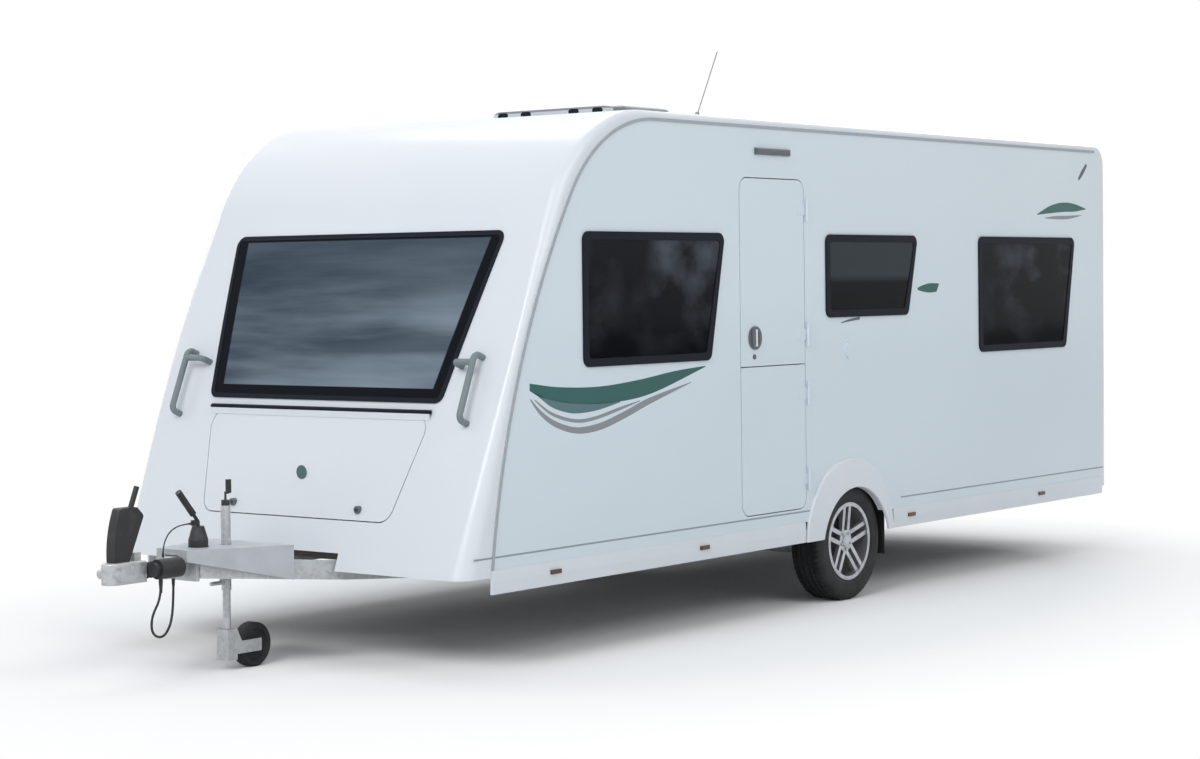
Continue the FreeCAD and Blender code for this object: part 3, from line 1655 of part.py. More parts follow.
def chassis():
    flange = d.rail_flange
    sheet = d.rail_sheet
    low = d.rail_foot_z
    top = d.floor_foot_z
    x = rail_x
    section = [
        (x, low), (x + flange, low), (x + flange, low + sheet), (x + sheet, low + sheet), (x + sheet, top - sheet),
        (x + flange, top - sheet), (x + flange, top), (x, top),
    ]
    rail = prism("rail left", "XZ", section, (rail_front_y, rail_rear_y))
    beams = []
    depth = d.beam_sheet
    for y in (rail_front_y + depth, axle_y + d.tyre_radius, rail_rear_y - depth * 2):
        beams.append(block("cross beam", (-x, x), (y, y + depth), (low + depth, top)))
    node("chassis_frame", fuse("chassis", rail, mirrored("rail right", rail), *beams))
    half = flange / 2
    front_x = (d.leg_front_x - half, d.leg_front_x + half)
    rear_x = (x, x + flange)
    bend_centre = leg_centre_x(leg_bend_y)
    bend_x = (bend_centre - half, bend_centre + half)
    bend_z = (d.leg_bend_foot_z, top)
    front_z = (d.leg_front_foot_z, d.leg_front_top_z)
    ahead = wedge("leg ahead", (leg_front_y, leg_bend_y), (front_x, front_z), (bend_x, bend_z))
    behind = wedge("leg behind", (leg_bend_y, rail_front_y), (bend_x, bend_z), (rear_x, (low, top)))
    beam_y = jockey_y + d.clamp_half
    reach = leg_centre_x(beam_y)
    beam = block("drawbar beam", (-reach, reach), (beam_y, beam_y + depth), (d.beam_foot_z, d.beam_foot_z + depth))
    leg = fuse("leg", ahead, behind)
    node("drawbar_legs", fuse("drawbar", leg, mirrored("leg right", leg), beam))


def mudflaps():
    y = axle_y + d.tyre_radius + d.mudflap_room
    half = d.mudflap_width / 2
    z = (d.mudflap_foot_z, d.floor_foot_z - d.seat_gap)
    flap = block("mudflap", (wheel_x - half, wheel_x + half), (y, y + d.mudflap_thick), z)
    node("mudflaps", pair("mudflap set", flap))


# Drawbar fittings


def overrun_housing():
    rear = housing_front_y + d.housing_length
    raw = block("housing tube", (-d.housing_half, d.housing_half), (housing_front_y, rear), (d.housing_foot_z, d.housing_top_z))
    tube = rounded("housing edges", raw, along("y", d.housing_half / 3))
    plate = block(
        "housing plate", (-d.flange_half, d.flange_half), (leg_front_y - d.flange_thick, leg_front_y),
        (d.flange_foot_z, d.flange_top_z)
    )
    node("overrun_housing", fuse("housing", tube, plate))
    start = nose_y + d.head_length
    length = housing_front_y - start
    step = length / GAITER_RIBS
    profile = [(ZERO, ZERO)]
    for index in range(GAITER_RIBS):
        profile += [(step * index, d.gaiter_root), (step * index + step / 2, d.gaiter_radius)]
    profile += [(length, d.gaiter_root), (length, ZERO)]
    node("gaiter", turned("gaiter", "y", profile, (ZERO, start, d.tube_z)))


def coupling():
    """The head over the tow ball with its two friction pads, and the stabiliser's upright handle."""
    radius = d.head_half
    ball_y = nose_y + radius
    rear = nose_y + d.head_length
    outline = [
        (-radius, ball_y), Bend(radius, 1), (ZERO, ball_y - radius), Bend(radius, 1), (radius, ball_y),
        (radius, rear), (-radius, rear),
    ]
    raw = prism("head raw", "XY", outline, (d.head_foot_z, d.head_top_z))
    head = rounded("head", raw, at_height(d.head_top_z, d.head_edge))
    socket = rod(
        "ball socket", "z", (ZERO, ball_y, d.head_foot_z - d.cut_overrun), d.socket_length + d.cut_overrun,
        d.socket_radius
    )
    across = radius + d.pad_proud
    pads = rod("pads", "x", (-across, ball_y, d.tube_z), across * 2, d.pad_radius)
    latch = block(
        "latch", (-d.latch_half, d.latch_half), (rear - d.latch_length, rear - d.head_edge),
        (d.tube_z, d.head_top_z + d.latch_rise)
    )
    node("coupling_head", cut("head with socket", fuse("head solid", head, pads, latch), socket))
    low = d.head_top_z
    top = low + d.blade_rise
    front = ball_y - d.blade_front
    back = ball_y + d.blade_reach
    slope = d.blade_crest
    blade_outline = [
        (front, low), (front + d.blade_root, low), (back, top - slope), (back - slope, top),
        (front + slope, top), Bend(d.blade_bow_radius, 1),
    ]
    blade_raw = prism("blade raw", "YZ", blade_outline, (-d.blade_half, d.blade_half))
    low_z = float(low + d.snap)
    blade = rounded("blade", blade_raw, along("x", d.blade_corner, lambda middle: middle.z > low_z))
    foot = (ZERO, back - d.grip_set, top - d.grip_radius * 2)
    tip = (ZERO, foot[1] + d.grip_lean, top + d.grip_rise)
    node("stabiliser_handle", fuse("handle", blade, pipe("handle grip", [foot, tip], [], d.grip_radius)))


def brake_lever():
    rise = d.brake_boot_rise
    neck = d.brake_boot * d.boot_neck_share
    profile = [(ZERO, ZERO), (ZERO, d.brake_boot), (rise / 2, d.brake_boot), (rise, neck), (rise, ZERO)]
    boot = turned("brake boot", "z", profile, (ZERO, brake_y, d.housing_top_z))
    knee = (ZERO, brake_y, d.brake_knee_z)
    tip = (ZERO, brake_y - d.brake_tip_set, d.brake_tip_z)
    start = (ZERO, brake_y, d.housing_top_z + d.brake_boot)
    lever = pipe("brake lever", [start, knee, tip], [d.brake_grip], d.brake_tube)
    grip_start = tuple(a + (b - a) * d.grip_start_share for a, b in zip(knee, tip))
    grip = pipe("brake grip", [grip_start, tip], [], d.brake_grip)
    lug = block(
        "brake lug", (-d.brake_tube, d.brake_tube), (brake_y - d.brake_lug, brake_y),
        (d.brake_knee_z - d.brake_tube * 2, d.brake_knee_z + d.brake_tube)
    )
    node("handbrake_lever", fuse("handbrake", boot, lever, grip, lug))


def cord(label, points, radius):
    """A cord along straight runs; each arc between two takes a fixed share of the shorter one."""
    route = [Vector(*(float(part) for part in point)) for point in points]
    bends = []
    length = sum((after - before).Length for before, after in zip(route, route[1:]))
    for before, corner, after in zip(route, route[1:], route[2:]):
        half_turn = (corner - before).getAngle(after - corner) / 2
        shorter = min((corner - before).Length, (after - corner).Length)
        bend = shorter * CORD_BEND_SHARE / math.tan(half_turn)
        bends.append(bend)
        length -= bend * (math.tan(half_turn) - half_turn) * 2
    tube = pipe(label, points, bends, radius)
    expected = math.pi * float(radius) ** 2 * length
    print("%s: length %.0f mm, bend radii %s mm" % (label, length, ", ".join("%.0f" % bend for bend in bends)))
    print("%s: volume %.4f of section times length" % (label, tube.Shape.Volume / expected))
    return tube


def route_runs(start, run, runs):
    """The (y, z) points that a cord reaches run by run."""
    points = [start]
    for share, heading in runs:
        y, z = points[-1]
        turn = as_size(heading)
        points.append((y + run * share * cosine(turn), z + run * share * sine(turn)))
    return points


def tow_lead():
    """The plug parked beside the housing, and its lead that hangs in a loop and ends under the housing."""
    front = nose_y + d.plug_front_reach
    rear = front + d.plug_length
    body = rod("plug body", "y", (d.plug_x, front, d.plug_z), d.plug_length, d.plug_radius)
    tail = rod("plug tail", "y", (d.plug_x, front - d.plug_tail, d.plug_z), d.plug_tail, d.plug_tail_radius)
    gland_y = front + d.plug_tail
    gland_foot = d.plug_z - d.plug_radius - d.gland_length
    gland = rod("plug gland", "z", (d.plug_x, gland_y, gland_foot), d.gland_length + d.plug_radius, d.gland_radius)
    bracket = block(
        "plug bracket", (d.housing_half, d.plug_x), (housing_front_y, rear),
        (d.plug_z - d.gland_length, d.plug_z + d.gland_length)
    )
    node("tow_plug", fuse("plug", body, tail, gland, bracket))
    flat = route_runs((gland_y, gland_foot), d.lead_run, LEAD_RUN_SHARES)
    steps = len(flat) - 2
    points = []
    for index, (y, z) in enumerate(flat):
        share = min(max(index - 1, 0), steps) / steps
        points.append((d.plug_x + (d.lead_end_x - d.plug_x) * share, y, z))
    points.append((d.lead_end_x, flat[-1][0], d.housing_foot_z))
    node("tow_lead", cord("tow lead", points, d.lead_radius))


def breakaway_cable():
    start = (nose_y + d.cable_start_reach, d.housing_top_z)
    flat = route_runs(start, d.cable_run, CABLE_RUN_SHARES)
    flat.append((brake_y - d.brake_lug, flat[-1][1]))
    node("breakaway_cable", cord("breakaway cable", [(ZERO, y, z) for y, z in flat], d.cable_radius))


def drawbar_cover():
    """A thin cover over the drawbar's fork, on two webs that rest on its legs."""
    front = nose_y + d.cover_reach
    rear = nose_y + d.cover_rear_reach
    sheet = d.cover_sheet
    rear_half = leg_centre_x(rear) + d.rail_flange / 2 + d.cover_room + sheet
    front_z = (d.cover_brim_z, d.cover_top_z)
    rear_z = (d.cover_foot_z, d.cover_top_z - d.cover_fall)
    outside = wedge(
        "cover outside", (front, rear), ((-d.cover_half, d.cover_half), front_z), ((-rear_half, rear_half), rear_z)
    )
    inner_front = d.cover_half - sheet
    inner_rear = rear_half - sheet
    down = d.cut_overrun
    inside = wedge(
        "cover inside", (front + sheet, rear + sheet),
        ((-inner_front, inner_front), (front_z[0] - down, front_z[1] - sheet)),
        ((-inner_rear, inner_rear), (rear_z[0] - down, rear_z[1] - sheet)),
    )
    shell = cut("cover shell", outside, inside)
    fall = (d.leg_front_top_z - d.floor_foot_z) / (leg_bend_y - leg_front_y)
    webs = []
    for reach in (d.cover_web_reach, d.cover_rear_reach - sheet * 2):
        y = nose_y + reach
        leg_top = d.leg_front_top_z - fall * (y - leg_front_y) + d.seat_gap
        half = leg_centre_x(y) + d.rail_flange / 2
        webs.append(block("cover web", (-half, half), (y, y + sheet), (leg_top, d.cover_top_z - d.cover_fall - sheet / 2)))
    high = d.cover_top_z + down
    jockey_way = rod("jockey way", "z", (ZERO, jockey_y, d.cover_foot_z), high - d.cover_foot_z, d.jockey_tube + d.run_gap)
    lever_way = rod("lever way", "z", (ZERO, brake_y, d.cover_brim_z), high - d.cover_brim_z, d.brake_boot + d.run_gap)
    slot_half = d.housing_half + d.run_gap
    slot = block(
        "cover slot", (-slot_half, slot_half), (front - down, housing_front_y + d.housing_length + d.run_gap),
        (d.cover_foot_z, d.housing_top_z + d.run_gap)
    )
    node("drawbar_cover", cut("cover", fuse("cover whole", shell, *webs), jockey_way, lever_way, slot))


def jockey():
    y = jockey_y
    top = d.jockey_top_z
    tube_length = top - d.jockey_tube_foot_z
    tube_in = d.jockey_stem + d.bearing_gap
    tube = rod("jockey sleeve tube", "z", (ZERO, y, d.jockey_tube_foot_z), tube_length, d.jockey_tube)
    bore = rod("jockey bore", "z", (ZERO, y, d.jockey_tube_foot_z - d.run_gap), tube_length, tube_in)
    half = d.clamp_half
    clamp = block("clamp", (-half, half), (y - half, y + half), (d.clamp_foot_z, d.clamp_top_z))
    screw_radius = d.clamp_screw_radius
    screw_y = y - half - d.clamp_screw_length
    screw = rod("clamp screw", "y", (ZERO, screw_y, d.clamp_screw_z), y - screw_y, screw_radius)
    neck = block(
        "clamp neck", (-screw_radius, screw_radius), (y - half, y - d.jockey_stem),
        (d.clamp_screw_z - screw_radius, d.clamp_foot_z)
    )
    node("jockey_tube", cut("jockey sleeve", fuse("jockey sleeve solid", tube, clamp, screw, neck), bore))
    fork_top = d.jockey_stem_foot_z
    stem_length = top - fork_top - d.jockey_lift - d.run_gap * 5
    node("jockey_stem", rod("jockey stem", "z", (ZERO, y, fork_top + d.seat_gap), stem_length, d.jockey_stem))
    cap = rod("crank cap", "z", (ZERO, y, top), d.crank_cap_rise, d.crank_cap)
    post = rod("crank post", "z", (ZERO, y, top), d.crank_grip_rise, d.crank_rod)
    arm_z = top + d.crank_grip_rise - d.crank_rod
    arm = rod("crank arm", "x", (ZERO, y, arm_z), d.crank_arm, d.crank_rod)
    grip = rod("crank grip", "z", (d.crank_arm, y, arm_z), d.crank_grip_length, d.crank_grip)
    node("jockey_crank", fuse("crank", cap, post, arm, grip))


def jockey_wheel():
    """The swivelling fork and its trailing wheel."""
    y = jockey_y
    inner = d.jockey_wheel_width / 2 + d.fork_gap
    outer = inner + d.jockey_fork_sheet
    top = d.jockey_stem_foot_z
    axle_at = (y + d.jockey_trail, d.jockey_wheel_radius)
    tall = d.jockey_fork_half_height
    reach = d.jockey_fork_half
    low = axle_at[1] - tall
    high = axle_at[1] + tall
    end = axle_at[0] + tall
    outline = [
        (y - reach, d.jockey_fork_foot_z), (y + reach, d.jockey_fork_foot_z), (y + reach, low), (end, low), (end, high),
        (y + reach * 2, high), (y + reach, top), (y - reach, top),
    ]
    plates = prism("fork plates", "YZ", outline, (-outer, outer))
    void = block("fork void", (-inner, inner), (y + reach, end + d.run_gap), (ZERO, top + d.run_gap))
    pin = rod("fork pin", "x", (-outer, axle_at[0], axle_at[1]), outer * 2, d.jockey_axle)
    node("jockey_fork", fuse("fork", cut("fork shell", plates, void), pin))
    wide = d.jockey_wheel_width / 2
    radius = d.jockey_wheel_radius
    section = [(wide, d.jockey_axle + d.bearing_gap)]
    section += [(wide * across, radius * up) for across, up in JOCKEY_SECTION_SHARES]
    node("jockey_wheel", turned("jockey wheel", "x", both_ways(section), (ZERO, axle_at[0], axle_at[1])))


# Corner steadies

# For each leg the end of the caravan, -1 at the front, and the side, 1 on the left
STEADIES = {
    "steady_front_left": (-1, 1),
    "steady_front_right": (-1, -1),
    "steady_rear_left": (1, 1),
    "steady_rear_right": (1, -1),
}


def steady_leg(name, x, y, end):
    """A channel with a foot pad that lies level on the ground when the leg is down."""
    z = d.steady_z
    half = d.steady_width / 2
    sheet = d.steady_sheet
    deep = d.steady_depth / 2
    lap = deep + d.steady_sheet
    foot = y - d.steady_length * end
    span = (y - lap, foot) if end < 0 else (foot, y + lap)
    outer = block("channel", (x - half, x + half), span, (z - deep, z + deep))
    void_span = (span[0] - d.run_gap, span[1] + d.run_gap)
    void_x = (x - half + sheet, x + half - sheet)
    void = block("channel void", void_x, void_span, (z - deep + sheet, z + deep + sheet))
    bore = rod(
        "steady bore", "x", (x - half - d.run_gap, y, z), d.steady_width + d.run_gap * 2, d.steady_pin + d.bearing_gap
    )
    drop = d.steady_drop
    pad_half = d.steady_pad / 2
    along_y = pad_half * cosine(drop)
    along_z = pad_half * sine(drop) * -end
    thick_y = d.steady_pad_sheet * sine(drop) * end
    thick_z = d.steady_pad_sheet * cosine(drop)
    low = z - deep
    pad_outline = [
        (foot - along_y, low + along_z), (foot + along_y, low - along_z),
        (foot + along_y + thick_y, low - along_z + thick_z), (foot - along_y + thick_y, low + along_z + thick_z),
    ]
    pad = prism(name + " pad", "YZ", pad_outline, (x - pad_half, x + pad_half))
    return fuse(name, cut("steady leg", outer, void, bore), pad)


def steady_bracket(x, y):
    """Two ears under the floor with the pin between them."""
    half = d.steady_width / 2 + d.seat_gap
    ear = d.steady_ear
    deep = d.steady_depth / 2
    z = (d.steady_z - deep, d.floor_foot_z)
    left = block("ear", (x + half, x + half + ear), (y - deep, y + deep), z)
    right = block("ear", (x - half - ear, x - half), (y - deep, y + deep), z)
    pin = rod("steady pin", "x", (x - half - ear, y, d.steady_z), (half + ear) * 2, d.steady_pin)
    return fuse("bracket", left, right, pin)


def steadies():
    """Legs folded towards the middle of the caravan."""
    brackets = []
    for name, (end, side) in STEADIES.items():
        x = (half_width - d.steady_inset) * side
        y = foot_y + d.steady_front_set if end < 0 else tail_y - d.steady_rear_set
        node(name, steady_leg(name, x, y, end))
        brackets.append(steady_bracket(x, y))
    node("steady_brackets", gather("bracket set", *brackets))


# Handles, lamps and other fittings on the walls


def grab_handles():
    """A bar that stands off the front face, with a short level arm towards the window near its top."""
    face = nose.inset(-d.seat_gap * 2)
    lean = (d.nose_foot_lean + d.nose_knee_lean) / 2
    out = (cosine(lean) * -d.grab_standoff, sine(lean) * d.grab_standoff)
    x = half_width - d.grab_inset

    def on_face(at_x, z):
        y, height = face.at(z)
        return (at_x, y, height)

    def stood_off(at_x, z):
        y, height = face.at(z)
        return (at_x, y + out[0], height + out[1])

    bend = d.grab_radius * 2
    head = d.grab_head_z
    foot = d.grab_foot_z
    bar = pipe(
        "grab bar", [on_face(x, foot), stood_off(x, foot), stood_off(x, head), on_face(x, head)], [bend, bend],
        d.grab_radius
    )
    arm_z = head - d.grab_arm_fall
    end_x = x - d.grab_arm
    arm = pipe(
        "grab arm", [stood_off(x, arm_z), stood_off(end_x, arm_z), on_face(end_x, arm_z)], [bend], d.grab_radius
    )
    node("grab_handles", pair("grab set", fuse("grab", bar, arm)))


def lamps():
    half = d.marker_height / 2
    z = (d.marker_z - half, d.marker_z + half)
    x = half_width + d.skirt_proud + d.skirt_bulge - d.skirt_sheet / 2
    markers = []
    for middle in (
        foot_y + d.cheek_set + d.marker_nose_set,
        door_front_y - d.marker_door_set,
        bow_y + bow_reach() + d.marker_arch_set,
        tail_y - d.marker_tail_set,
    ):
        y = (middle - d.marker_length / 2, middle + d.marker_length / 2)
        markers.append(block("marker", (x, x + d.marker_proud), y, z))
    node("marker_lamps", pair("marker set", gather("markers left", *markers)))
    node("rear_lamps", pair("rear lamp set", rear_lamp("rear lamp", ZERO, ZERO)))


def vent(low):
    """A refrigerator vent on the right-hand wall: a rim and level slats over a back plate."""
    outer = -half_width - d.vent_proud
    rim = d.vent_rim
    half = d.vent_width / 2
    y = (axle_y - half, axle_y + half)
    z = (low, low + d.vent_height)
    raw = block("vent raw", (outer, -half_width), y, z)
    back = -half_width - d.leaf_sheet
    void = block("vent void", (outer - d.run_gap, back), (y[0] + rim, y[1] - rim), (z[0] + rim, z[1] - rim))
    slats = []
    step = (d.vent_height - rim * 2) / VENT_SLATS
    for index in range(1, VENT_SLATS):
        slat_z = low + rim + step * index
        slats.append(
            block("vent slat", (outer + d.leaf_sheet, -half_width), y, (slat_z - d.vent_slat / 2, slat_z + d.vent_slat / 2))
        )
    return fuse("vent", cut("vent tray", raw, void), *slats)


def wall_fittings():
    kitchen_front, kitchen_rear = window_span("kitchen")
    flue_z = window_head_z - d.kitchen_height - d.flue_drop
    flue = rod("flue", "x", (half_width, kitchen_front + d.flue_set, flue_z), d.flue_proud, d.flue_radius)
    vents = [flue, vent(d.vent_low_z), vent(d.vent_low_z + d.vent_high_rise)]
    node("wall_vents", gather("vent set", *vents))


# Cabin furniture, all clear of the aisle


def unit(label, side, depth, y, z, opens_above=False):
    """A cabinet of thin board against a side wall, open to the wall and either below or above."""
    board = d.unit_board
    wall = inner_x - d.seat_gap
    near = wall - depth
    outer = block(label + " outside", (near, wall), y, z)
    over = d.cut_overrun
    void_z = (z[0] + board, z[1] + over) if opens_above else (z[0] - over, z[1] - board)
    void = block(label + " hollow", (near + board, wall + over), (y[0] + board, y[1] - board), void_z)
    shell = cut(label, outer, void)
    return shell if side > 0 else mirrored(label + " right", shell)


def cushion(label, side, y, z):
    """A seat cushion or mattress on a side unit, a little smaller than its top."""
    room = d.run_gap * 2
    raw = block(
        label + " raw", (d.aisle_half + room, inner_x - room), (y[0] + room, y[1] - room), (z[0] + d.seat_gap, z[1])
    )
    soft = rounded(label, raw, lambda edge: d.cushion_edge)
    return soft if side > 0 else mirrored(label + " right", soft)


def furniture():
    low = d.floor_top_z + d.seat_gap
    gap = d.unit_gap
    lounge_y = (locker_back_y + gap, foot_y + d.lounge_front_set + d.lounge_seat_reach)
    bed_front, bed_rear = window_span("bedroom")
    bed_y = (bed_front, bed_front + d.bed_length)
    bench_top = d.seat_top_z - d.cushion_thick
    bed_top = d.bed_top_z - d.mattress_thick
    depth = inner_x - d.aisle_half
    units = []
    cushions = []
    for side in (-1, 1):
        units.append(unit("bench", side, depth, lounge_y, (low, bench_top)))
        units.append(unit("bed", side, depth, bed_y, (low, bed_top)))
        cushions.append(cushion("seat cushion", side, lounge_y, (bench_top, d.seat_top_z)))
        cushions.append(cushion("mattress", side, bed_y, (bed_top, d.bed_top_z)))
    kitchen_y = (door_rear_y + gap, window_span("kitchen")[1])
    units.append(unit("kitchen", 1, d.kitchen_depth, kitchen_y, (low, d.kitchen_top_z)))
    units.append(unit("wardrobe", -1, d.kitchen_depth, wheel_box_y(gap), (low, d.tall_unit_top_z)))
    locker_z = (d.roof_locker_foot_z, d.roof_locker_head_z)
    units.append(unit("left locker", 1, d.roof_locker_depth, (door_rear_y + gap, bed_y[1]), locker_z, True))
    right_locker_y = (joint_y, axle_y - d.tyre_radius - d.box_end_room - gap * 2)
    units.append(unit("right locker", -1, d.roof_locker_depth, right_locker_y, locker_z, True))
    node("furniture", gather("furniture set", *units))
    node("cushions", gather("cushion set", *cushions))


def build():
    front_panel()
    side_walls()
    roof_panel()
    rear_panel()
    floor_and_skirts()
    wheel_boxes()
    arch_mouldings()
    edge_rails()
    windows()
    node("door_hinges", gather("hinge posts", *door(), service_door()))
    awning_light()
    locker_lid()
    locker_tub()
    rooflight()
    aerial()
    wheels()
    axle()
    chassis()
    mudflaps()
    overrun_housing()
    coupling()
    brake_lever()
    tow_lead()
    breakaway_cable()
    drawbar_cover()
    jockey()
    jockey_wheel()
    steadies()
    grab_handles()
    lamps()
    wall_fittings()
    furniture()


def check():
    """Stop before anything is written if a feature failed or a sub-part is not a sound solid."""
    doc.recompute()
    failed = [item.Label for item in doc.Objects if {"Invalid", "Error"} & set(item.State)]
    if failed:
        raise RuntimeError("features failed: " + ", ".join(failed))
    for item in nodes:
        if item.Shape.isNull() or not item.Shape.isValid() or not item.Shape.Solids:
            raise RuntimeError("sub-part is not sound: " + item.Label)


def write():
    os.makedirs("parts", exist_ok=True)
    for item in nodes:
        item.Shape.exportStep("parts/%s.step" % item.Label)


build()
check()
write()
print("%d sub-parts written" % len(nodes))
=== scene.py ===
import math

import bpy
import bmesh
from mathutils import Matrix, Vector


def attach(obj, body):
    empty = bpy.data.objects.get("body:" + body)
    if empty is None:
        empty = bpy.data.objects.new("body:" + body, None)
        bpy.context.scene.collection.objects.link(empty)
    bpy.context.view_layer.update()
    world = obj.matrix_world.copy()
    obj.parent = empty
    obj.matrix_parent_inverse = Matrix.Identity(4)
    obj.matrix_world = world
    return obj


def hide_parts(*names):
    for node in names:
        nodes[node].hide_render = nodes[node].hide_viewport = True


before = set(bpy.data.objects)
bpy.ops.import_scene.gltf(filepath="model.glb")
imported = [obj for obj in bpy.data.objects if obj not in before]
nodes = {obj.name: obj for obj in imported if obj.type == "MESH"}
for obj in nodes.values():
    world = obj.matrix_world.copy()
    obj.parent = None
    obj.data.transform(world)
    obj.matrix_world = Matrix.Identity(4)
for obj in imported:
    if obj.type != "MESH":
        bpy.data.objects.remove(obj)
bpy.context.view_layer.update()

# Camera
# The photograph looks at the door side's front corner from about standing eye height,
# some eleven metres away, with the horizon set high in the picture.
PHOTO_WIDTH = 1200
PHOTO_HEIGHT = 759
FOCAL_PIXELS = 2469.66
HORIZON_PIXEL_Y = 295.47
SENSOR_WIDTH = 36.0
CLIP_END = 200
camera_place = Vector((8.068, -10.622, 1.732))
camera_yaw = math.radians(37.63)
camera_pitch = -0.0068
camera_roll = -0.0112

forward = Vector((
    -math.sin(camera_yaw) * math.cos(camera_pitch),
    math.cos(camera_yaw) * math.cos(camera_pitch),
    math.sin(camera_pitch),
))
level_right = Vector((math.cos(camera_yaw), math.sin(camera_yaw), 0))
level_up = level_right.cross(forward)
right = math.cos(camera_roll) * level_right + math.sin(camera_roll) * level_up
up = math.cos(camera_roll) * level_up - math.sin(camera_roll) * level_right

lens = bpy.data.cameras.new("camera")
lens.sensor_width = SENSOR_WIDTH
lens.lens = SENSOR_WIDTH * FOCAL_PIXELS / PHOTO_WIDTH
lens.shift_y = (HORIZON_PIXEL_Y - PHOTO_HEIGHT / 2) / PHOTO_WIDTH
lens.clip_end = CLIP_END
camera = bpy.data.objects.new("camera", lens)
turned = Matrix((right, up, -forward)).transposed()
camera.matrix_world = Matrix.Translation(camera_place) @ turned.to_4x4()
bpy.context.scene.collection.objects.link(camera)
bpy.context.scene.camera = camera

# Cords
# The lead hangs in a loop from the parked plug and goes back under the overrun housing;
# the thin cable arches from the housing's top to the handbrake.
CORDS = {
    # name: points, laid length, diameter, pieces on it
    "tow_lead": (
        [
            (0.084, -3.381, 0.444), (0.084, -3.381, 0.380), (0.0716, -3.425, 0.3038),
            (0.0592, -3.4139, 0.2246), (0.0468, -3.3387, 0.1972), (0.0344, -3.2792, 0.2507),
            (0.022, -3.2523, 0.3512), (0.022, -3.2523, 0.448),
        ],
        0.577, 0.011, "medium", "hanging", ["tow_plug"],
    ),
    "breakaway_cable": (
        [
            (0, -3.290, 0.542), (0, -3.290, 0.587), (0, -3.2628, 0.6382), (0, -3.2204, 0.6647),
            (0, -3.1662, 0.6743), (0, -3.118, 0.6743),
        ],
        0.254, 0.006, "stiff", "loose", [],
    ),
}
cord_objects = {}
for name, (points, length, width, stiffness, lay, pieces) in CORDS.items():
    route = bpy.data.curves.new(name, "CURVE")
    route.dimensions = "3D"
    spline = route.splines.new("NURBS")
    spline.points.add(len(points) - 1)
    for point, place in zip(spline.points, points):
        point.co = (*place, 1.0)
        point.radius = width / 2
    spline.order_u = 3
    spline.use_endpoint_u = True
    spline.resolution_u = 12
    route.bevel_depth = 1.0
    route.bevel_resolution = 4
    route.use_fill_caps = True
    piece = bpy.data.objects.new(name + "_cord", route)
    bpy.context.scene.collection.objects.link(piece)
    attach(piece, "shell")
    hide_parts(name)
    cord_objects[name] = piece


# Studio
# A pale floor that runs out to a white surround under an even sky, with one broad soft lamp
# above, one ahead, and weaker ones on the door side, the off side and behind.
class Shade:
    """A socket of a material. Sums on it add maths nodes, and node() adds any other kind."""

    def __init__(self, tree, socket):
        self.tree = tree
        self.socket = socket

    def node(self, kind, settings, sockets, output=0):
        made = self.tree.nodes.new(kind)
        for name, value in settings.items():
            if name == "stops":
                ramp = made.color_ramp
                while len(ramp.elements) < len(value):
                    ramp.elements.new(1.0)
                for element, (position, colour) in zip(ramp.elements, value):
                    element.position = position
                    element.color = (*colour, 1.0)
            else:
                setattr(made, name, value)
        for name, value in sockets.items():
            if isinstance(value, Shade):
                self.tree.links.new(value.socket, made.inputs[name])
            else:
                made.inputs[name].default_value = value
        return Shade(self.tree, made.outputs[output])

    def maths(self, operation, *values):
        places = dict(enumerate((self,) + values))
        return self.node("ShaderNodeMath", {"operation": operation}, places)

    def __add__(self, other):
        return self.maths("ADD", other)

    def __sub__(self, other):
        return self.maths("SUBTRACT", other)

    def __mul__(self, other):
        return self.maths("MULTIPLY", other)

    __radd__ = __add__
    __rmul__ = __mul__

    def __rsub__(self, other):
        return (self * -1.0).maths("ADD", other)

    def clamp(self, low, high):
        ranged = {"Value": self, "From Min": low, "From Max": high}
        return self.node("ShaderNodeMapRange", {"clamp": True}, ranged)

    def mix(self, first, second):
        """Between two colours, with this value as the share of the second."""
        return self.node("ShaderNodeMix", {"data_type": "RGBA"}, {0: self, 6: first, 7: second}, 2)


def rgb(red, green, blue):
    return (red, green, blue, 1.0)


def new_finish(name):
    """A material whose tree is empty but for its output, with its object coordinates and the output."""
    material = bpy.data.materials.new(name)
    material.use_nodes = True
    tree = material.node_tree
    tree.nodes.clear()
    place = tree.nodes.new("ShaderNodeTexCoord")
    end = tree.nodes.new("ShaderNodeOutputMaterial")
    return material, Shade(tree, place.outputs["Object"]), end


def close_finish(place, end, **sockets):
    """Ends a material in one glossy surface shader; names use underscores for spaces."""
    named = {name.replace("_", " "): value for name, value in sockets.items()}
    surface = place.node("ShaderNodeBsdfPrincipled", {}, named)
    place.tree.links.new(surface.socket, end.inputs["Surface"])


def noise(place, scale, detail=3.0, stretch=None):
    """Soft noise from 0 to 1; stretch scales each coordinate first, so 8 packs it and 0.5 draws it out."""
    if stretch is not None:
        place = place.node("ShaderNodeMapping", {}, {"Vector": place, "Scale": stretch})
    return place.node("ShaderNodeTexNoise", {}, {"Vector": place, "Scale": scale, "Detail": detail})


def bump(place, height, strength, distance):
    return place.node(
        "ShaderNodeBump", {}, {"Height": height, "Strength": strength, "Distance": distance}
    )


def coordinate(place, letter):
    return place.node("ShaderNodeSeparateXYZ", {}, {"Vector": place}, letter)


def to_object(name, mesh_data, *materials):
    piece = bpy.data.objects.new(name, mesh_data)
    bpy.context.scene.collection.objects.link(piece)
    for material in materials:
        piece.data.materials.append(material)
    return piece


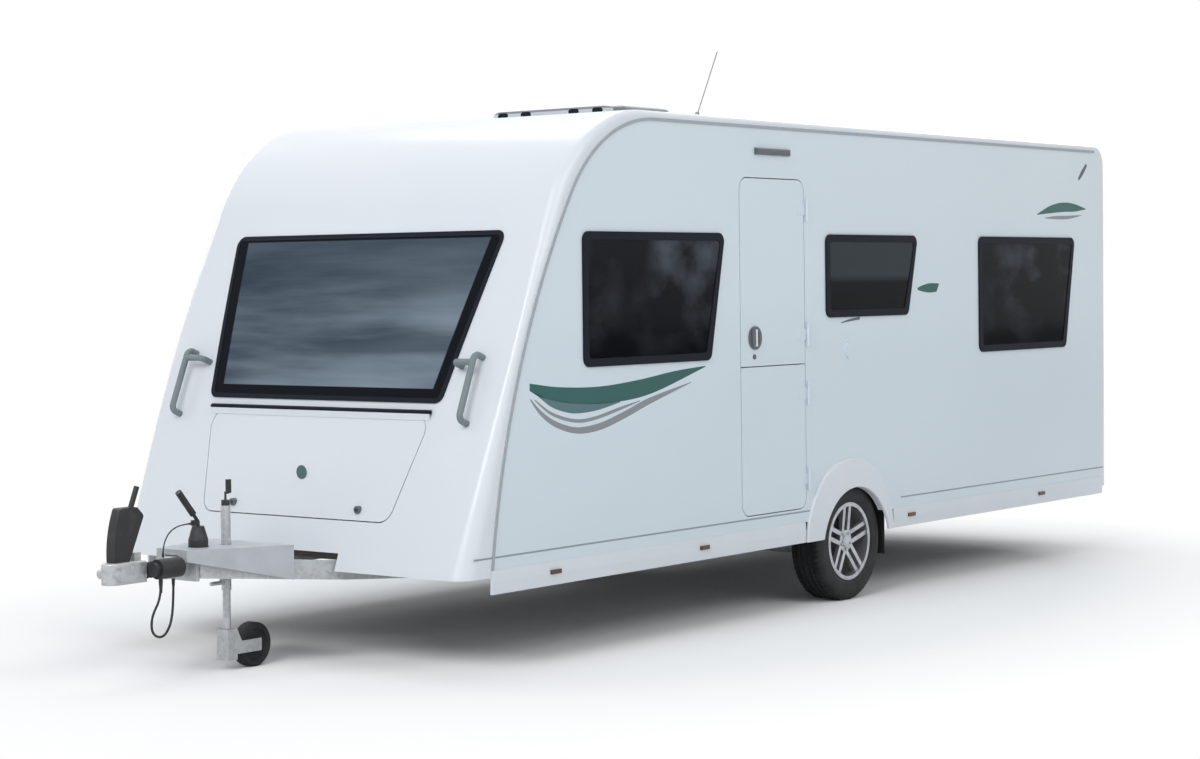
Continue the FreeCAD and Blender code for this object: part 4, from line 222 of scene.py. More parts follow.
FLOOR_HALF = 60.0
FLOOR_COLOUR = rgb(0.93, 0.93, 0.93)
FLOOR_PATCH = rgb(0.915, 0.915, 0.915)
FADE_START = 3.3
FADE_END = 5.2
FADE_ACROSS = 1.6
SURROUND = rgb(1.0, 1.0, 1.0)
SKY = rgb(0.91, 0.96, 1.0)
SKY_STRENGTH = 0.44

floor_mesh = bpy.data.meshes.new("floor")
corners = [(-1, -1), (1, -1), (1, 1), (-1, 1)]
floor_mesh.from_pydata([(x * FLOOR_HALF, y * FLOOR_HALF, 0) for x, y in corners], [], [(0, 1, 2, 3)])
floor_finish, place, end = new_finish("pale floor")
seen = place.node("ShaderNodeLightPath", {}, {}, "Is Camera Ray")
oval = place.node("ShaderNodeMapping", {}, {"Vector": place, "Scale": (FADE_ACROSS, 1.0, 1.0)})
away = oval.node("ShaderNodeVectorMath", {"operation": "LENGTH"}, {0: oval}, "Value")
fade = away.clamp(FADE_START, FADE_END)
blotch = noise(place, 0.6).clamp(0.3, 0.7)
tone = blotch.mix(FLOOR_COLOUR, FLOOR_PATCH)
matt = place.node("ShaderNodeBsdfDiffuse", {}, {"Color": tone, "Roughness": 0.8})
glow = place.node("ShaderNodeEmission", {}, {"Color": SURROUND, "Strength": 1.0})
both = place.node("ShaderNodeMixShader", {}, {0: seen * fade, 1: matt, 2: glow})
place.tree.links.new(both.socket, end.inputs["Surface"])
floor_sheet = to_object("floor", floor_mesh, floor_finish)

world = bpy.data.worlds.new("surround")
bpy.context.scene.world = world
world.use_nodes = True
world.node_tree.nodes.clear()
sky_end = world.node_tree.nodes.new("ShaderNodeOutputWorld")
path = world.node_tree.nodes.new("ShaderNodeLightPath")
camera_ray = Shade(world.node_tree, path.outputs["Is Camera Ray"])
glossy_ray = Shade(world.node_tree, path.outputs["Is Glossy Ray"])
clear_ray = Shade(world.node_tree, path.outputs["Is Transmission Ray"])
plain = camera_ray.maths("MAXIMUM", glossy_ray).maths("MAXIMUM", clear_ray)
lit_sky = camera_ray.node("ShaderNodeBackground", {}, {"Color": SKY, "Strength": SKY_STRENGTH})
seen_sky = camera_ray.node("ShaderNodeBackground", {}, {"Color": SURROUND, "Strength": 1.0})
sky = camera_ray.node("ShaderNodeMixShader", {}, {0: plain, 1: lit_sky, 2: seen_sky})
world.node_tree.links.new(sky.socket, sky_end.inputs["Surface"])

LAMPS = {
    # name: place, aimed at, width, height, watts
    "top lamp": ((-2.2, 1.8, 9.5), (0.3, -0.2, 0.0), 4.5, 8.0, 280.0),
    "front lamp": ((3.0, -11.5, 8.0), (0.0, -2.4, 1.2), 6.0, 4.5, 540.0),
    "door side lamp": ((10.5, -1.5, 8.0), (1.0, 0.5, 1.2), 8.0, 4.5, 245.0),
    "rear lamp": ((-2.0, 12.0, 7.0), (0.0, 3.4, 1.2), 6.0, 4.5, 380.0),
    "off side lamp": ((-11.0, 0.0, 7.0), (-1.0, 0.0, 1.2), 8.0, 4.5, 340.0),
}
for name, (spot, target, wide, tall, watts) in LAMPS.items():
    lamp = bpy.data.lights.new(name, "AREA")
    lamp.shape = "RECTANGLE"
    lamp.size = wide
    lamp.size_y = tall
    lamp.energy = watts
    holder = bpy.data.objects.new(name, lamp)
    aim = (Vector(target) - Vector(spot)).to_track_quat("-Z", "Y")
    holder.matrix_world = Matrix.Translation(spot) @ aim.to_matrix().to_4x4()
    bpy.context.scene.collection.objects.link(holder)
bpy.context.scene.view_settings.view_transform = "Standard"


# Body shell
# White-painted aluminium side walls with glass-fibre mouldings at the front, rear and roof.
# The paint is glossy with a faint ripple; road film gathers low down.
def dress(material, *names):
    for name in names:
        node = nodes[name]
        for slot in node.material_slots:
            slot.material = material
        if not node.material_slots:
            node.data.materials.append(material)


SHELL_WHITE = rgb(0.78, 0.81, 0.855)
SHELL_SHADE = rgb(0.75, 0.785, 0.835)
FILM_TOP_Z = 0.62
shell_paint, place, end = new_finish("shell paint")
ripple = noise(place, 1.1, 2.0)
grain = noise(place, 900.0, 2.0)
height = coordinate(place, "Z")
low_down = 1.0 - height.clamp(0.25, FILM_TOP_Z)
dirt = low_down * noise(place, 2.2, 6.0).clamp(0.3, 0.9)
tone = ripple.clamp(0.3, 0.7).mix(SHELL_WHITE, SHELL_SHADE)
tone = (dirt * 0.14).mix(tone, rgb(0.60, 0.61, 0.61))
close_finish(
    place, end, Base_Color=tone, Roughness=0.30 + dirt * 0.2, Coat_Weight=0.2, Coat_Roughness=0.12,
    Normal=bump(place, ripple * 0.004 + grain * 0.00002, 0.5, 1.0),
)
dress(
    shell_paint, "front_panel", "roof_panel", "rear_panel", "locker_lid", "skirts", "arch_mouldings",
)

# The aluminium side walls are a little cooler and greyer than the mouldings.
side_paint, place, end = new_finish("side paint")
ripple = noise(place, 0.9, 2.0, (1.0, 0.6, 1.0))
grain = noise(place, 850.0, 2.0)
height = coordinate(place, "Z")
dirt = (1.0 - height.clamp(0.35, 0.85)) * noise(place, 1.8, 6.0).clamp(0.35, 0.9)
tone = ripple.clamp(0.3, 0.7).mix(rgb(0.720, 0.805, 0.865), rgb(0.700, 0.785, 0.845))
tone = (dirt * 0.12).mix(tone, rgb(0.58, 0.59, 0.59))
close_finish(
    place, end, Base_Color=tone, Roughness=0.32 + dirt * 0.2, Coat_Weight=0.3, Coat_Roughness=0.1,
    Normal=bump(place, ripple * 0.005 + grain * 0.00002, 0.5, 1.0),
)
dress(
    side_paint, "side_wall_left", "side_wall_right", "door_upper", "door_lower", "service_door",
    "door_hinges", "wall_vents",
)

# Side stripes
# Generic self-adhesive stripes in the photograph's green, teal and grey: a tapered wedge over two
# curved lines behind the nose, a dash at the kitchen window, and a dash over a line near the tail.
def smooth_line(points, steps):
    """Points on a smooth curve through the given ones, evenly many between each two."""
    line = []
    for index in range(len(points) - 1):
        before = Vector(points[max(index - 1, 0)])
        start, stop = Vector(points[index]), Vector(points[index + 1])
        after = Vector(points[min(index + 2, len(points) - 1)])
        for step in range(steps):
            t = step / steps
            line.append(
                0.5 * ((2 * start) + (stop - before) * t + (2 * before - 5 * start + 4 * stop - after) * t * t
                       + (3 * start - before - 3 * stop + after) * t * t * t)
            )
    return line + [Vector(points[-1])]


def to_data(name, mesh):
    """Mesh data of a closed shape, with its faces turned outward."""
    bmesh.ops.recalc_face_normals(mesh, faces=mesh.faces)
    data = bpy.data.meshes.new(name)
    mesh.to_mesh(data)
    mesh.free()
    return data


def put_on(body, name, mesh, material):
    piece = to_object(name, to_data(name, mesh), material)
    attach(piece, body)


def join_rings(mesh, rings, capped=True):
    """Faces from each ring of points to the next, and over the first and the last one."""
    for low, high in zip(rings, rings[1:]):
        for k in range(len(low)):
            after = (k + 1) % len(low)
            mesh.faces.new((low[k], low[after], high[after], high[k]))
    if capped:
        mesh.faces.new(rings[0])
        mesh.faces.new(rings[-1][::-1])


WALL_X = 1.1
STICKER_THICK = 0.0006
STICKER_STEPS = 8


def sticker(name, material, body, bands, side=1):
    """Thin closed strips on the side wall, each between an upper and a lower line of (y, z) points."""
    mesh = bmesh.new()
    for upper, lower in bands:
        top = smooth_line(upper, STICKER_STEPS)
        bottom = smooth_line(lower, STICKER_STEPS)
        rows = []
        for offset in (0.0, STICKER_THICK):
            x = (WALL_X + offset) * side
            rows.append(
                ([mesh.verts.new((x, y, z)) for y, z in top], [mesh.verts.new((x, y, z)) for y, z in bottom])
            )
        (back_top, back_bottom), (front_top, front_bottom) = rows
        for i in range(len(top) - 1):
            mesh.faces.new((front_bottom[i], front_bottom[i + 1], front_top[i + 1], front_top[i]))
            mesh.faces.new((back_top[i], back_top[i + 1], back_bottom[i + 1], back_bottom[i]))
            mesh.faces.new((front_top[i], front_top[i + 1], back_top[i + 1], back_top[i]))
            mesh.faces.new((back_bottom[i], back_bottom[i + 1], front_bottom[i + 1], front_bottom[i]))
        for i in (0, -1):
            mesh.faces.new((front_top[i], back_top[i], back_bottom[i], front_bottom[i]))
    put_on(body, name, mesh, material)


def film(name, first, second):
    material, place, end = new_finish(name)
    cloud = noise(place, 3.0)
    close_finish(
        place, end, Base_Color=cloud.mix(first, second), Roughness=0.28 + noise(place, 400.0) * 0.1,
        Normal=bump(place, noise(place, 500.0), 0.1, 0.0002),
    )
    return material


green_film = film("green film", rgb(0.006, 0.088, 0.078), rgb(0.012, 0.118, 0.102))
teal_film = film("teal film", rgb(0.070, 0.160, 0.180), rgb(0.095, 0.195, 0.215))
grey_film = film("grey film", rgb(0.24, 0.26, 0.285), rgb(0.29, 0.31, 0.335))
WEDGE = (
    [(-2.105, 1.268), (-1.888, 1.243), (-1.591, 1.234), (-1.282, 1.254), (-1.000, 1.284), (-0.745, 1.300)],
    [(-2.105, 1.235), (-1.997, 1.196), (-1.742, 1.160), (-1.440, 1.158), (-1.164, 1.190), (-0.745, 1.296)],
)
UNDER_WEDGE = (
    [(-2.062, 1.224), (-1.997, 1.196), (-1.870, 1.176), (-1.742, 1.160), (-1.590, 1.157), (-1.440, 1.158)],
    [(-2.062, 1.218), (-1.960, 1.160), (-1.860, 1.130), (-1.760, 1.118), (-1.610, 1.126), (-1.440, 1.154)],
)
LOWER_CURVE = (
    [(-2.100, 1.200), (-2.020, 1.139), (-1.915, 1.088), (-1.767, 1.055), (-1.595, 1.066), (-1.402, 1.112),
     (-1.204, 1.166), (-0.870, 1.226)],
    [(-2.100, 1.190), (-2.030, 1.122), (-1.925, 1.064), (-1.767, 1.026), (-1.590, 1.034), (-1.395, 1.080),
     (-1.195, 1.138), (-0.870, 1.222)],
)
INNER_CURVE = (
    [(-2.070, 1.196), (-1.948, 1.132), (-1.781, 1.093), (-1.632, 1.098), (-1.441, 1.132), (-1.284, 1.156)],
    [(-2.068, 1.188), (-1.950, 1.118), (-1.781, 1.077), (-1.630, 1.082), (-1.438, 1.118), (-1.284, 1.152)],
)
DASH = (
    [(1.302, 1.662), (1.360, 1.676), (1.440, 1.686), (1.540, 1.684)],
    [(1.302, 1.650), (1.360, 1.640), (1.440, 1.634), (1.510, 1.638)],
)
TAIL_DASH = (
    [(2.720, 2.090), (2.880, 2.140), (3.040, 2.164), (3.200, 2.160), (3.360, 2.132)],
    [(2.720, 2.086), (2.900, 2.098), (3.060, 2.108), (3.210, 2.112), (3.360, 2.128)],
)
TAIL_LINE = (
    [(2.820, 2.070), (2.960, 2.082), (3.120, 2.086), (3.300, 2.092)],
    [(2.820, 2.066), (2.970, 2.062), (3.130, 2.066), (3.300, 2.088)],
)
for side, name in ((1, "left"), (-1, "right")):
    sticker("green_stripes_" + name, green_film, "shell", [WEDGE, TAIL_DASH] + [DASH] * (side > 0), side)
    sticker("teal_stripe_" + name, teal_film, "shell", [UNDER_WEDGE], side)
    sticker("grey_stripes_" + name, grey_film, "shell", [LOWER_CURVE, INNER_CURVE, TAIL_LINE], side)

# A thin grey-blue strip on each wall, just above its skirt, is painted shadow: the dark line in the step
# between the wall's foot and the skirt.
foot_shadow_film = film("foot shadow film", rgb(0.26, 0.31, 0.35), rgb(0.31, 0.36, 0.40))
FOOT_Z = 0.512
SHADOW_LINE_HEIGHT = 0.008
SHADOW_LINES = [
    ([(front, FOOT_Z + SHADOW_LINE_HEIGHT), (rear, FOOT_Z + SHADOW_LINE_HEIGHT)], [(front, FOOT_Z), (rear, FOOT_Z)])
    for front, rear in ((-2.500, 0.180), (1.100, 3.560))
]
# Each strip is painted shadow, a dark line where the skirt's step shades the wall.
for side, name in ((1, "left"), (-1, "right")):
    sticker("foot_seal_" + name, foot_shadow_film, "shell", SHADOW_LINES, side)

# Grey edge trim
# Extruded rails that cover the joint of wall and roof, and the awning channel in them.
TRIM_GREY = rgb(0.36, 0.39, 0.43)
trim_finish, place, end = new_finish("edge trim")
wear = noise(place, 35.0, 4.0)
close_finish(
    place, end, Base_Color=wear.clamp(0.3, 0.8).mix(TRIM_GREY, rgb(0.42, 0.45, 0.48)),
    Roughness=0.35 + wear * 0.2, Normal=bump(place, noise(place, 600.0), 0.15, 0.0004),
)
dress(trim_finish, "edge_rails")
smoke, place, end = new_finish("smoked lens")
cloud = noise(place, 25.0)
close_finish(
    place, end, Base_Color=cloud.mix(rgb(0.085, 0.095, 0.115), rgb(0.12, 0.13, 0.15)),
    Roughness=0.2 + cloud * 0.1,
)
dress(smoke, "awning_light")

# Windows
# Double acrylic panes, tinted near black, in black frames clipped over the wall.
FRAME_BLACK = rgb(0.010, 0.013, 0.021)
frame_finish, place, end = new_finish("window frame")
grain = noise(place, 500.0)
close_finish(
    place, end, Base_Color=grain.mix(FRAME_BLACK, rgb(0.018, 0.021, 0.030)), Roughness=0.32 + grain * 0.12,
    IOR=1.15, Normal=bump(place, grain, 0.12, 0.0003),
)
dress(frame_finish, "window_frames", "lid_hinge")

# The side panes carry a painted reflection of a paler sky, brighter towards their heads; a blind hangs
# halfway down the kitchen's.
SIDE_HEAD_Z = 1.935
SIDE_SILL_Z = 1.342
BLIND_FOOT_Z = 1.715
BLIND_FADE = 0.02
BLIND_FRONT_Y = (0.30, 0.32)
BLIND_REAR_Y = (1.34, 1.36)
pane_finish, place, end = new_finish("side pane")
height = coordinate(place, "Z")
rise = height.clamp(SIDE_SILL_Z, SIDE_HEAD_Z)
along = coordinate(place, "Y")
cloud = noise(place, 2.6, 4.0, (1.0, 1.0, 1.6)).clamp(0.46, 0.66)
reflection_patch = noise(place, 1.3, 2.0, (1.0, 1.0, 0.4)).clamp(0.46, 0.58)
# Painted reflection: patchy pale sky painted into the pane's colour, growing towards the head.
painted_reflection = cloud * reflection_patch * (rise * 0.8 + 0.1) + rise * 0.10
kitchen = along.clamp(*BLIND_FRONT_Y) * (1.0 - along.clamp(*BLIND_REAR_Y))
blind = kitchen * height.clamp(BLIND_FOOT_Z - BLIND_FADE, BLIND_FOOT_Z + BLIND_FADE)
tone = painted_reflection.mix(rgb(0.0018, 0.0022, 0.0038), rgb(0.085, 0.100, 0.120))
tone = (blind * 0.8).mix(tone, rgb(0.050, 0.064, 0.072))
close_finish(
    place, end, Base_Color=tone, Roughness=0.06 + cloud * 0.05, IOR=1.13, Alpha=0.97,
    Normal=bump(place, noise(place, 1.6, 1.0), 0.25, 0.01),
)
dress(pane_finish, "side_windows", "window_rear")

# The front pane is paler where a lowered blind shows through it in level streaks.
FRONT_FOOT_Z = 1.18
FRONT_HEAD_Z = 1.96
FRONT_FOOT_HALF = 0.742
FRONT_HEAD_HALF = 0.868
PRINT_SIDE = 0.075
PRINT_FOOT = 0.066
PRINT_HEAD = 0.030
front_pane_finish, place, end = new_finish("front pane")
across = coordinate(place, "X").maths("ABSOLUTE")
height = coordinate(place, "Z")
rise = height.clamp(FRONT_FOOT_Z, FRONT_HEAD_Z)
half = rise * (FRONT_HEAD_HALF - FRONT_FOOT_HALF) + FRONT_FOOT_HALF
side_print = (across - half).clamp(-PRINT_SIDE - 0.006, -PRINT_SIDE)
foot_print = 1.0 - height.clamp(FRONT_FOOT_Z + PRINT_FOOT - 0.004, FRONT_FOOT_Z + PRINT_FOOT)
head_print = height.clamp(FRONT_HEAD_Z - PRINT_HEAD - 0.004, FRONT_HEAD_Z - PRINT_HEAD)
printed = side_print.maths("MAXIMUM", foot_print).maths("MAXIMUM", head_print)
streak = noise(place, 1.5, 5.0, (0.5, 1.0, 5.0)).clamp(0.36, 0.66)
broad = noise(place, 0.9, 2.0, (0.7, 1.0, 1.6)).clamp(0.40, 0.62)
pale = (streak * 0.55 + broad * 0.45) * (1.0 - rise.clamp(0.45, 1.0) * 0.72)
glass = pale.mix(rgb(0.040, 0.062, 0.086), rgb(0.270, 0.330, 0.400))
close_finish(
    place, end, Base_Color=printed.mix(glass, rgb(0.004, 0.006, 0.010)), Roughness=0.09 + streak * 0.06,
    IOR=1.15, Alpha=0.96, Normal=bump(place, noise(place, 1.6, 1.0), 0.25, 0.01),
)
dress(front_pane_finish, "window_front")

# Black strips cover the lid's hinge under the front window: one on the shell over its upper half,
# and one on the lid, further out, that turns up past it as the lid opens.
LID_HINGE = (-2.31831, 1.140)
STRIP_HALF = 0.705
STRIP_STEPS = 10
LIP_END_ROOM = 0.004
STRIPS = {
    # name: body, inner and outer radius, first and last angle
    "hinge_strip": ("shell", 0.0090, 0.0112, 62, 152),
    "hinge_strip_lid": ("locker_lid", 0.0119, 0.0135, 148, 205),
}


def swept(name, material, body, half, outer, inner):
    """A closed strip along X whose section lies between two lines of (y, z) points."""
    mesh = bmesh.new()
    rings = [
        [mesh.verts.new((x, *point)) for point, x in ((a, -half), (b, -half), (b, half), (a, half))]
        for a, b in zip(inner, outer)
    ]
    join_rings(mesh, rings)
    put_on(body, name, mesh, material)


for name, (body, near, far, first, last) in STRIPS.items():
    angles = [math.radians(first + (last - first) * step / STRIP_STEPS) for step in range(STRIP_STEPS + 1)]
    inner, outer = [
        [(LID_HINGE[0] + r * math.cos(angle), LID_HINGE[1] + r * math.sin(angle)) for angle in angles]
        for r in (near, far)
    ]
    swept(name, frame_finish, body, STRIP_HALF, outer, inner)

# A white lip on the lid hangs before its upper gap, from the hinge strip down to the lid's face.
LIP_OUTER = (
    (-0.0119, -0.0064), (-0.0112, -0.011), (-0.0102, -0.017), (-0.0096, -0.024), (-0.0094, -0.036),
)
LIP_INNER = (
    (-0.0103, -0.0062), (-0.0094, -0.011), (-0.0082, -0.017), (-0.0074, -0.024), (-0.0050, -0.036),
)
inner, outer = [
    [(LID_HINGE[0] + y, LID_HINGE[1] + z) for y, z in line] for line in (LIP_INNER, LIP_OUTER)
]
swept("lid_lip", shell_paint, "locker_lid", STRIP_HALF - LIP_END_ROOM, outer, inner)

# Rooflight and aerial
# A smoked dome on a pale grey plinth, whose wind deflector has a dark head; a thin steel whip.
dome_finish, place, end = new_finish("smoked dome")
cloud = noise(place, 6.0).clamp(0.3, 0.7)
close_finish(
    place, end, Base_Color=cloud.mix(rgb(0.17, 0.19, 0.22), rgb(0.22, 0.24, 0.27)),
    Roughness=0.22 + cloud * 0.1, Alpha=0.92, IOR=1.49,
)
dress(dome_finish, "rooflight_dome")
COWL_TRIM_Z = 2.606
COWL_TRIM_FADE = 0.003
COWL_TRIM_REAR_Y = (-0.520, -0.515)
plinth_finish, place, end = new_finish("rooflight plinth")
grain = noise(place, 300.0)
height = coordinate(place, "Z").clamp(COWL_TRIM_Z, COWL_TRIM_Z + COWL_TRIM_FADE)
ahead = 1.0 - coordinate(place, "Y").clamp(*COWL_TRIM_REAR_Y)
tone = grain.mix(rgb(0.56, 0.60, 0.65), rgb(0.62, 0.66, 0.71))
close_finish(
    place, end, Base_Color=(height * ahead).mix(tone, rgb(0.16, 0.165, 0.19)), Roughness=0.45 + grain * 0.1,
    Normal=bump(place, grain, 0.2, 0.0004),
)
dress(plinth_finish, "rooflight_base")


DISC_STEPS = 40


def flat_disc(name, material, body, centre, axis, half_long, radius, thick):
    """A flat plate with round ends across X or Z, as thick as given along its axis, X or Y."""
    mesh = bmesh.new()
    loops = []
    for offset in (0.0, thick):
        loop = []
        for step in range(DISC_STEPS):
            angle = math.tau * (step + 0.5) / DISC_STEPS
            u = radius * math.cos(angle) + math.copysign(half_long, math.cos(angle))
            v = radius * math.sin(angle)
            x, y, z = centre
            if axis == "y":
                loop.append(mesh.verts.new((x + u, y + offset, z + v)))
            else:
                loop.append(mesh.verts.new((x + offset, y + v, z + u)))
        loops.append(loop)
    join_rings(mesh, loops)
    put_on(body, name, mesh, material)


PORT_FACE_Y = -0.572
PORT_Z = 2.597
PORT_X = (-0.3154, -0.1596, 0.1596, 0.3154)
PORT_HALF = 0.018
PORT_RADIUS = 0.0155
PORT_THICK = 0.004
for number, x in enumerate(PORT_X, 1):
    flat_disc(
        "cowl_port_%d" % number, frame_finish, "shell", (x, PORT_FACE_Y, PORT_Z), "y", PORT_HALF,
        PORT_RADIUS, PORT_THICK,
    )
whip_finish, place, end = new_finish("aerial steel")
wear = noise(place, 80.0)
close_finish(place, end, Base_Color=rgb(0.20, 0.21, 0.23), Metallic=0.7, Roughness=0.3 + wear * 0.2)
dress(whip_finish, "aerial")

# Grab handles
# Grey-green nylon bars that a person pulls on to move the van.
grab_finish, place, end = new_finish("grab handle")
grain = noise(place, 700.0)
close_finish(
    place, end, Base_Color=noise(place, 9.0).mix(rgb(0.16, 0.20, 0.21), rgb(0.22, 0.26, 0.27)),
    Roughness=0.5 + grain * 0.15, Normal=bump(place, grain, 0.25, 0.0004),
)
dress(grab_finish, "grab_handles")

# Galvanised steel
# Hot-dipped frame, drawbar, coupling, axle, jockey and steadies: spangled grey, with a dull bloom.
zinc, place, end = new_finish("galvanised steel")
spangle = place.node(
    "ShaderNodeTexVoronoi", {"feature": "F1"}, {"Vector": place, "Scale": 55.0, "Randomness": 1.0}, "Color"
)
facet = spangle.node("ShaderNodeSeparateColor", {}, {"Color": spangle}, 0)
bloom = noise(place, 9.0, 5.0).clamp(0.3, 0.75)
tone = facet.mix(rgb(0.42, 0.44, 0.46), rgb(0.60, 0.62, 0.64))
tone = (bloom * 0.6).mix(tone, rgb(0.50, 0.51, 0.52))
close_finish(
    place, end, Base_Color=tone, Metallic=0.75 - bloom * 0.25, Roughness=0.34 + facet * 0.16 + bloom * 0.2,
    Normal=bump(place, facet, 0.08, 0.0006),
)
dress(
    zinc, "chassis_frame", "drawbar_legs", "axle_beam", "steady_brackets", "steady_front_left",
    "steady_front_right", "steady_rear_left", "steady_rear_right", "jockey_tube", "jockey_stem",
    "jockey_fork", "overrun_housing", "coupling_head",
)

# Black mouldings
# Grained polypropylene and nylon: levers, crank, wheel boxes, locker tub, plug and cords.
black_plastic, place, end = new_finish("black moulding")
grain = noise(place, 450.0)
scuff = noise(place, 14.0, 5.0).clamp(0.5, 0.8)
close_finish(
    place, end, Base_Color=scuff.mix(rgb(0.016, 0.016, 0.018), rgb(0.045, 0.045, 0.05)),
    Roughness=0.45 + grain * 0.2, Normal=bump(place, grain, 0.3, 0.0005),
)
dress(
    black_plastic, "stabiliser_handle", "handbrake_lever", "jockey_crank", "wheel_boxes", "locker_tub",
    "tow_plug",
)
for piece in cord_objects.values():
    piece.data.materials.append(black_plastic)

# The door's handle and keyhole are black; so are the lid's two locks. The lid carries a blank disc.
grip_grey, place, end = new_finish("handle grey")
grain = noise(place, 600.0)
close_finish(
    place, end, Base_Color=noise(place, 20.0).mix(rgb(0.10, 0.11, 0.13), rgb(0.14, 0.155, 0.175)),
    Roughness=0.4 + grain * 0.15, Normal=bump(place, grain, 0.2, 0.0003),
)
DOOR_DISCS = {
    # name: material, centre, half of its straight part, radius, thickness
    "door_handle": (grip_grey, (1.1004, -0.315, 1.425), 0.004, 0.055, 0.0080),
    # A flat black patch round the grip is painted shade for the hollow behind it.
    "door_grip_hollow": (black_plastic, (1.1080, -0.308, 1.425), 0.020, 0.022, 0.0012),
    "door_grip": (grip_grey, (1.1088, -0.338, 1.425), 0.030, 0.0140, 0.0075),
    "door_keyhole": (grip_grey, (1.1002, -0.319, 1.330), 0.0, 0.013, 0.0040),
}
for name, (material, centre, half_long, radius, thick) in DOOR_DISCS.items():
    flat_disc(name, material, "door_upper", centre, "x", half_long, radius, thick)
disc_finish, place, end = new_finish("lid disc")
cloud = noise(place, 30.0)
close_finish(
    place, end, Base_Color=cloud.mix(rgb(0.06, 0.13, 0.13), rgb(0.09, 0.17, 0.165)),
    Roughness=0.28 + cloud * 0.1, Metallic=0.3,
)
DISC_PLACE = (0, -2.4327, 0.853)
DISC_RADIUS = 0.0325
DISC_THICK = 0.003
LOCK_X = 0.400
LOCK_Z = 0.702
LOCKS = {
    # name: material, front y, radius, thickness
    "lid_lock_": (grip_grey, -2.492, 0.0175, 0.022),
    "lock_key_": (black_plastic, -2.4935, 0.008, 0.003),
}
flat_disc("lid_disc", disc_finish, "locker_lid", DISC_PLACE, "y", 0.0, DISC_RADIUS, DISC_THICK)
for side, name in ((1, "left"), (-1, "right")):
    for kind, (material, y, radius, thick) in LOCKS.items():
        flat_disc(kind + name, material, "locker_lid", (LOCK_X * side, y, LOCK_Z), "y", 0.0, radius, thick)

# A dark stay lies under the kitchen window.
STAY = (
    [(0.500, 1.486), (0.590, 1.503), (0.690, 1.513)],
    [(0.500, 1.482), (0.590, 1.490), (0.690, 1.498)],
)
sticker("window_stay", grip_grey, "shell", [STAY])

# A small grey marker stands near the tail's upper corner on both sides.
TAIL_MARKER = (
    [(3.262, 2.318), (3.310, 2.366), (3.372, 2.414)],
    [(3.274, 2.304), (3.330, 2.344), (3.384, 2.398)],
)
for side, name in ((1, "left"), (-1, "right")):
    sticker("tail_marker_" + name, grip_grey, "shell", [TAIL_MARKER], side)

# Tapered sleeves hold the cords where they leave a piece.
RELIEFS = {
    # name: mouth, direction, radius at the mouth, radius at the end, length
    "lead_relief_plug": ((0.084, -3.381, 0.446), (0, 0, -1), 0.0090, 0.0062, 0.045),
    "lead_relief_housing": ((0.022, -3.2523, 0.448), (0, 0, -1), 0.0085, 0.0062, 0.035),
    "cable_relief_housing": ((0, -3.290, 0.542), (0, 0, 1), 0.0060, 0.0036, 0.026),
    "cable_relief_lever": ((0, -3.118, 0.6743), (0, -1, 0), 0.0060, 0.0036, 0.022),
}
RELIEF_RIBS = 6
STEPS_PER_RIB = 4
RIB_DEPTH = 0.0007
RELIEF_SIDES = 20
for name, (mouth, heading, wide, narrow, length) in RELIEFS.items():
    mesh = bmesh.new()
    turn = Vector((0, 0, 1)).rotation_difference(Vector(heading)).to_matrix()
    rings = []
    for step in range(RELIEF_RIBS * STEPS_PER_RIB + 1):
        t = step / (RELIEF_RIBS * STEPS_PER_RIB)
        radius = wide + (narrow - wide) * t - (RIB_DEPTH if step % STEPS_PER_RIB == 2 else 0.0)
        ring = []
        for k in range(RELIEF_SIDES):
            angle = math.tau * k / RELIEF_SIDES
            offset = Vector((radius * math.cos(angle), radius * math.sin(angle), length * t))
            ring.append(mesh.verts.new(Vector(mouth) + turn @ offset))
        rings.append(ring)
    join_rings(mesh, rings)
    put_on("shell", name, mesh, black_plastic)

# Wheels
# Radial tyres on cast alloy rims with five twin spokes and iron drums; black rings behind the spokes are
# painted shade that fills the gap between drum and rim.
rubber, place, end = new_finish("tyre rubber")
dust = noise(place, 12.0, 5.0).clamp(0.4, 0.8)
fine = noise(place, 260.0)
close_finish(
    place, end, Base_Color=dust.mix(rgb(0.008, 0.009, 0.010), rgb(0.026, 0.027, 0.028)),
    Roughness=0.62 + fine * 0.2, Normal=bump(place, fine, 0.25, 0.0006),
)
dress(rubber, "tyre_left", "tyre_right", "jockey_wheel", "gaiter", "mudflaps")

WHEEL_CENTRE = (0.970, 0.630025, 0.315)
TREAD_BLOCKS = 64
STEPS_PER_BLOCK = 6
NOTCH = 0.0055
SHARP_DEGREES = 28
TYRE_HALF_SECTION = [
    # across from the middle, radius, share of the notch that is cut there
    (0.0000, 0.3150, 0.0), (0.0125, 0.3149, 0.0), (0.0135, 0.3085, 0.0), (0.0215, 0.3085, 0.0),
    (0.0225, 0.3148, 0.5), (0.0430, 0.3146, 0.5), (0.0440, 0.3082, 0.0), (0.0520, 0.3082, 0.0),
    (0.0530, 0.3145, 1.0), (0.0640, 0.3141, 1.0), (0.0740, 0.3125, 1.0), (0.0800, 0.3080, 1.0),
    (0.0850, 0.3010, 0.6), (0.0880, 0.2950, 0.0), (0.0893, 0.2885, 0.0), (0.0912, 0.2870, 0.0),
    (0.0915, 0.2835, 0.0), (0.0932, 0.2750, 0.0), (0.0948, 0.2620, 0.0), (0.0945, 0.2440, 0.0),
    (0.0925, 0.2310, 0.0), (0.0930, 0.2290, 0.0), (0.0905, 0.2220, 0.0), (0.0850, 0.2100, 0.0),
    (0.0790, 0.2080, 0.0), (0.0780, 0.1905, 0.0),
]


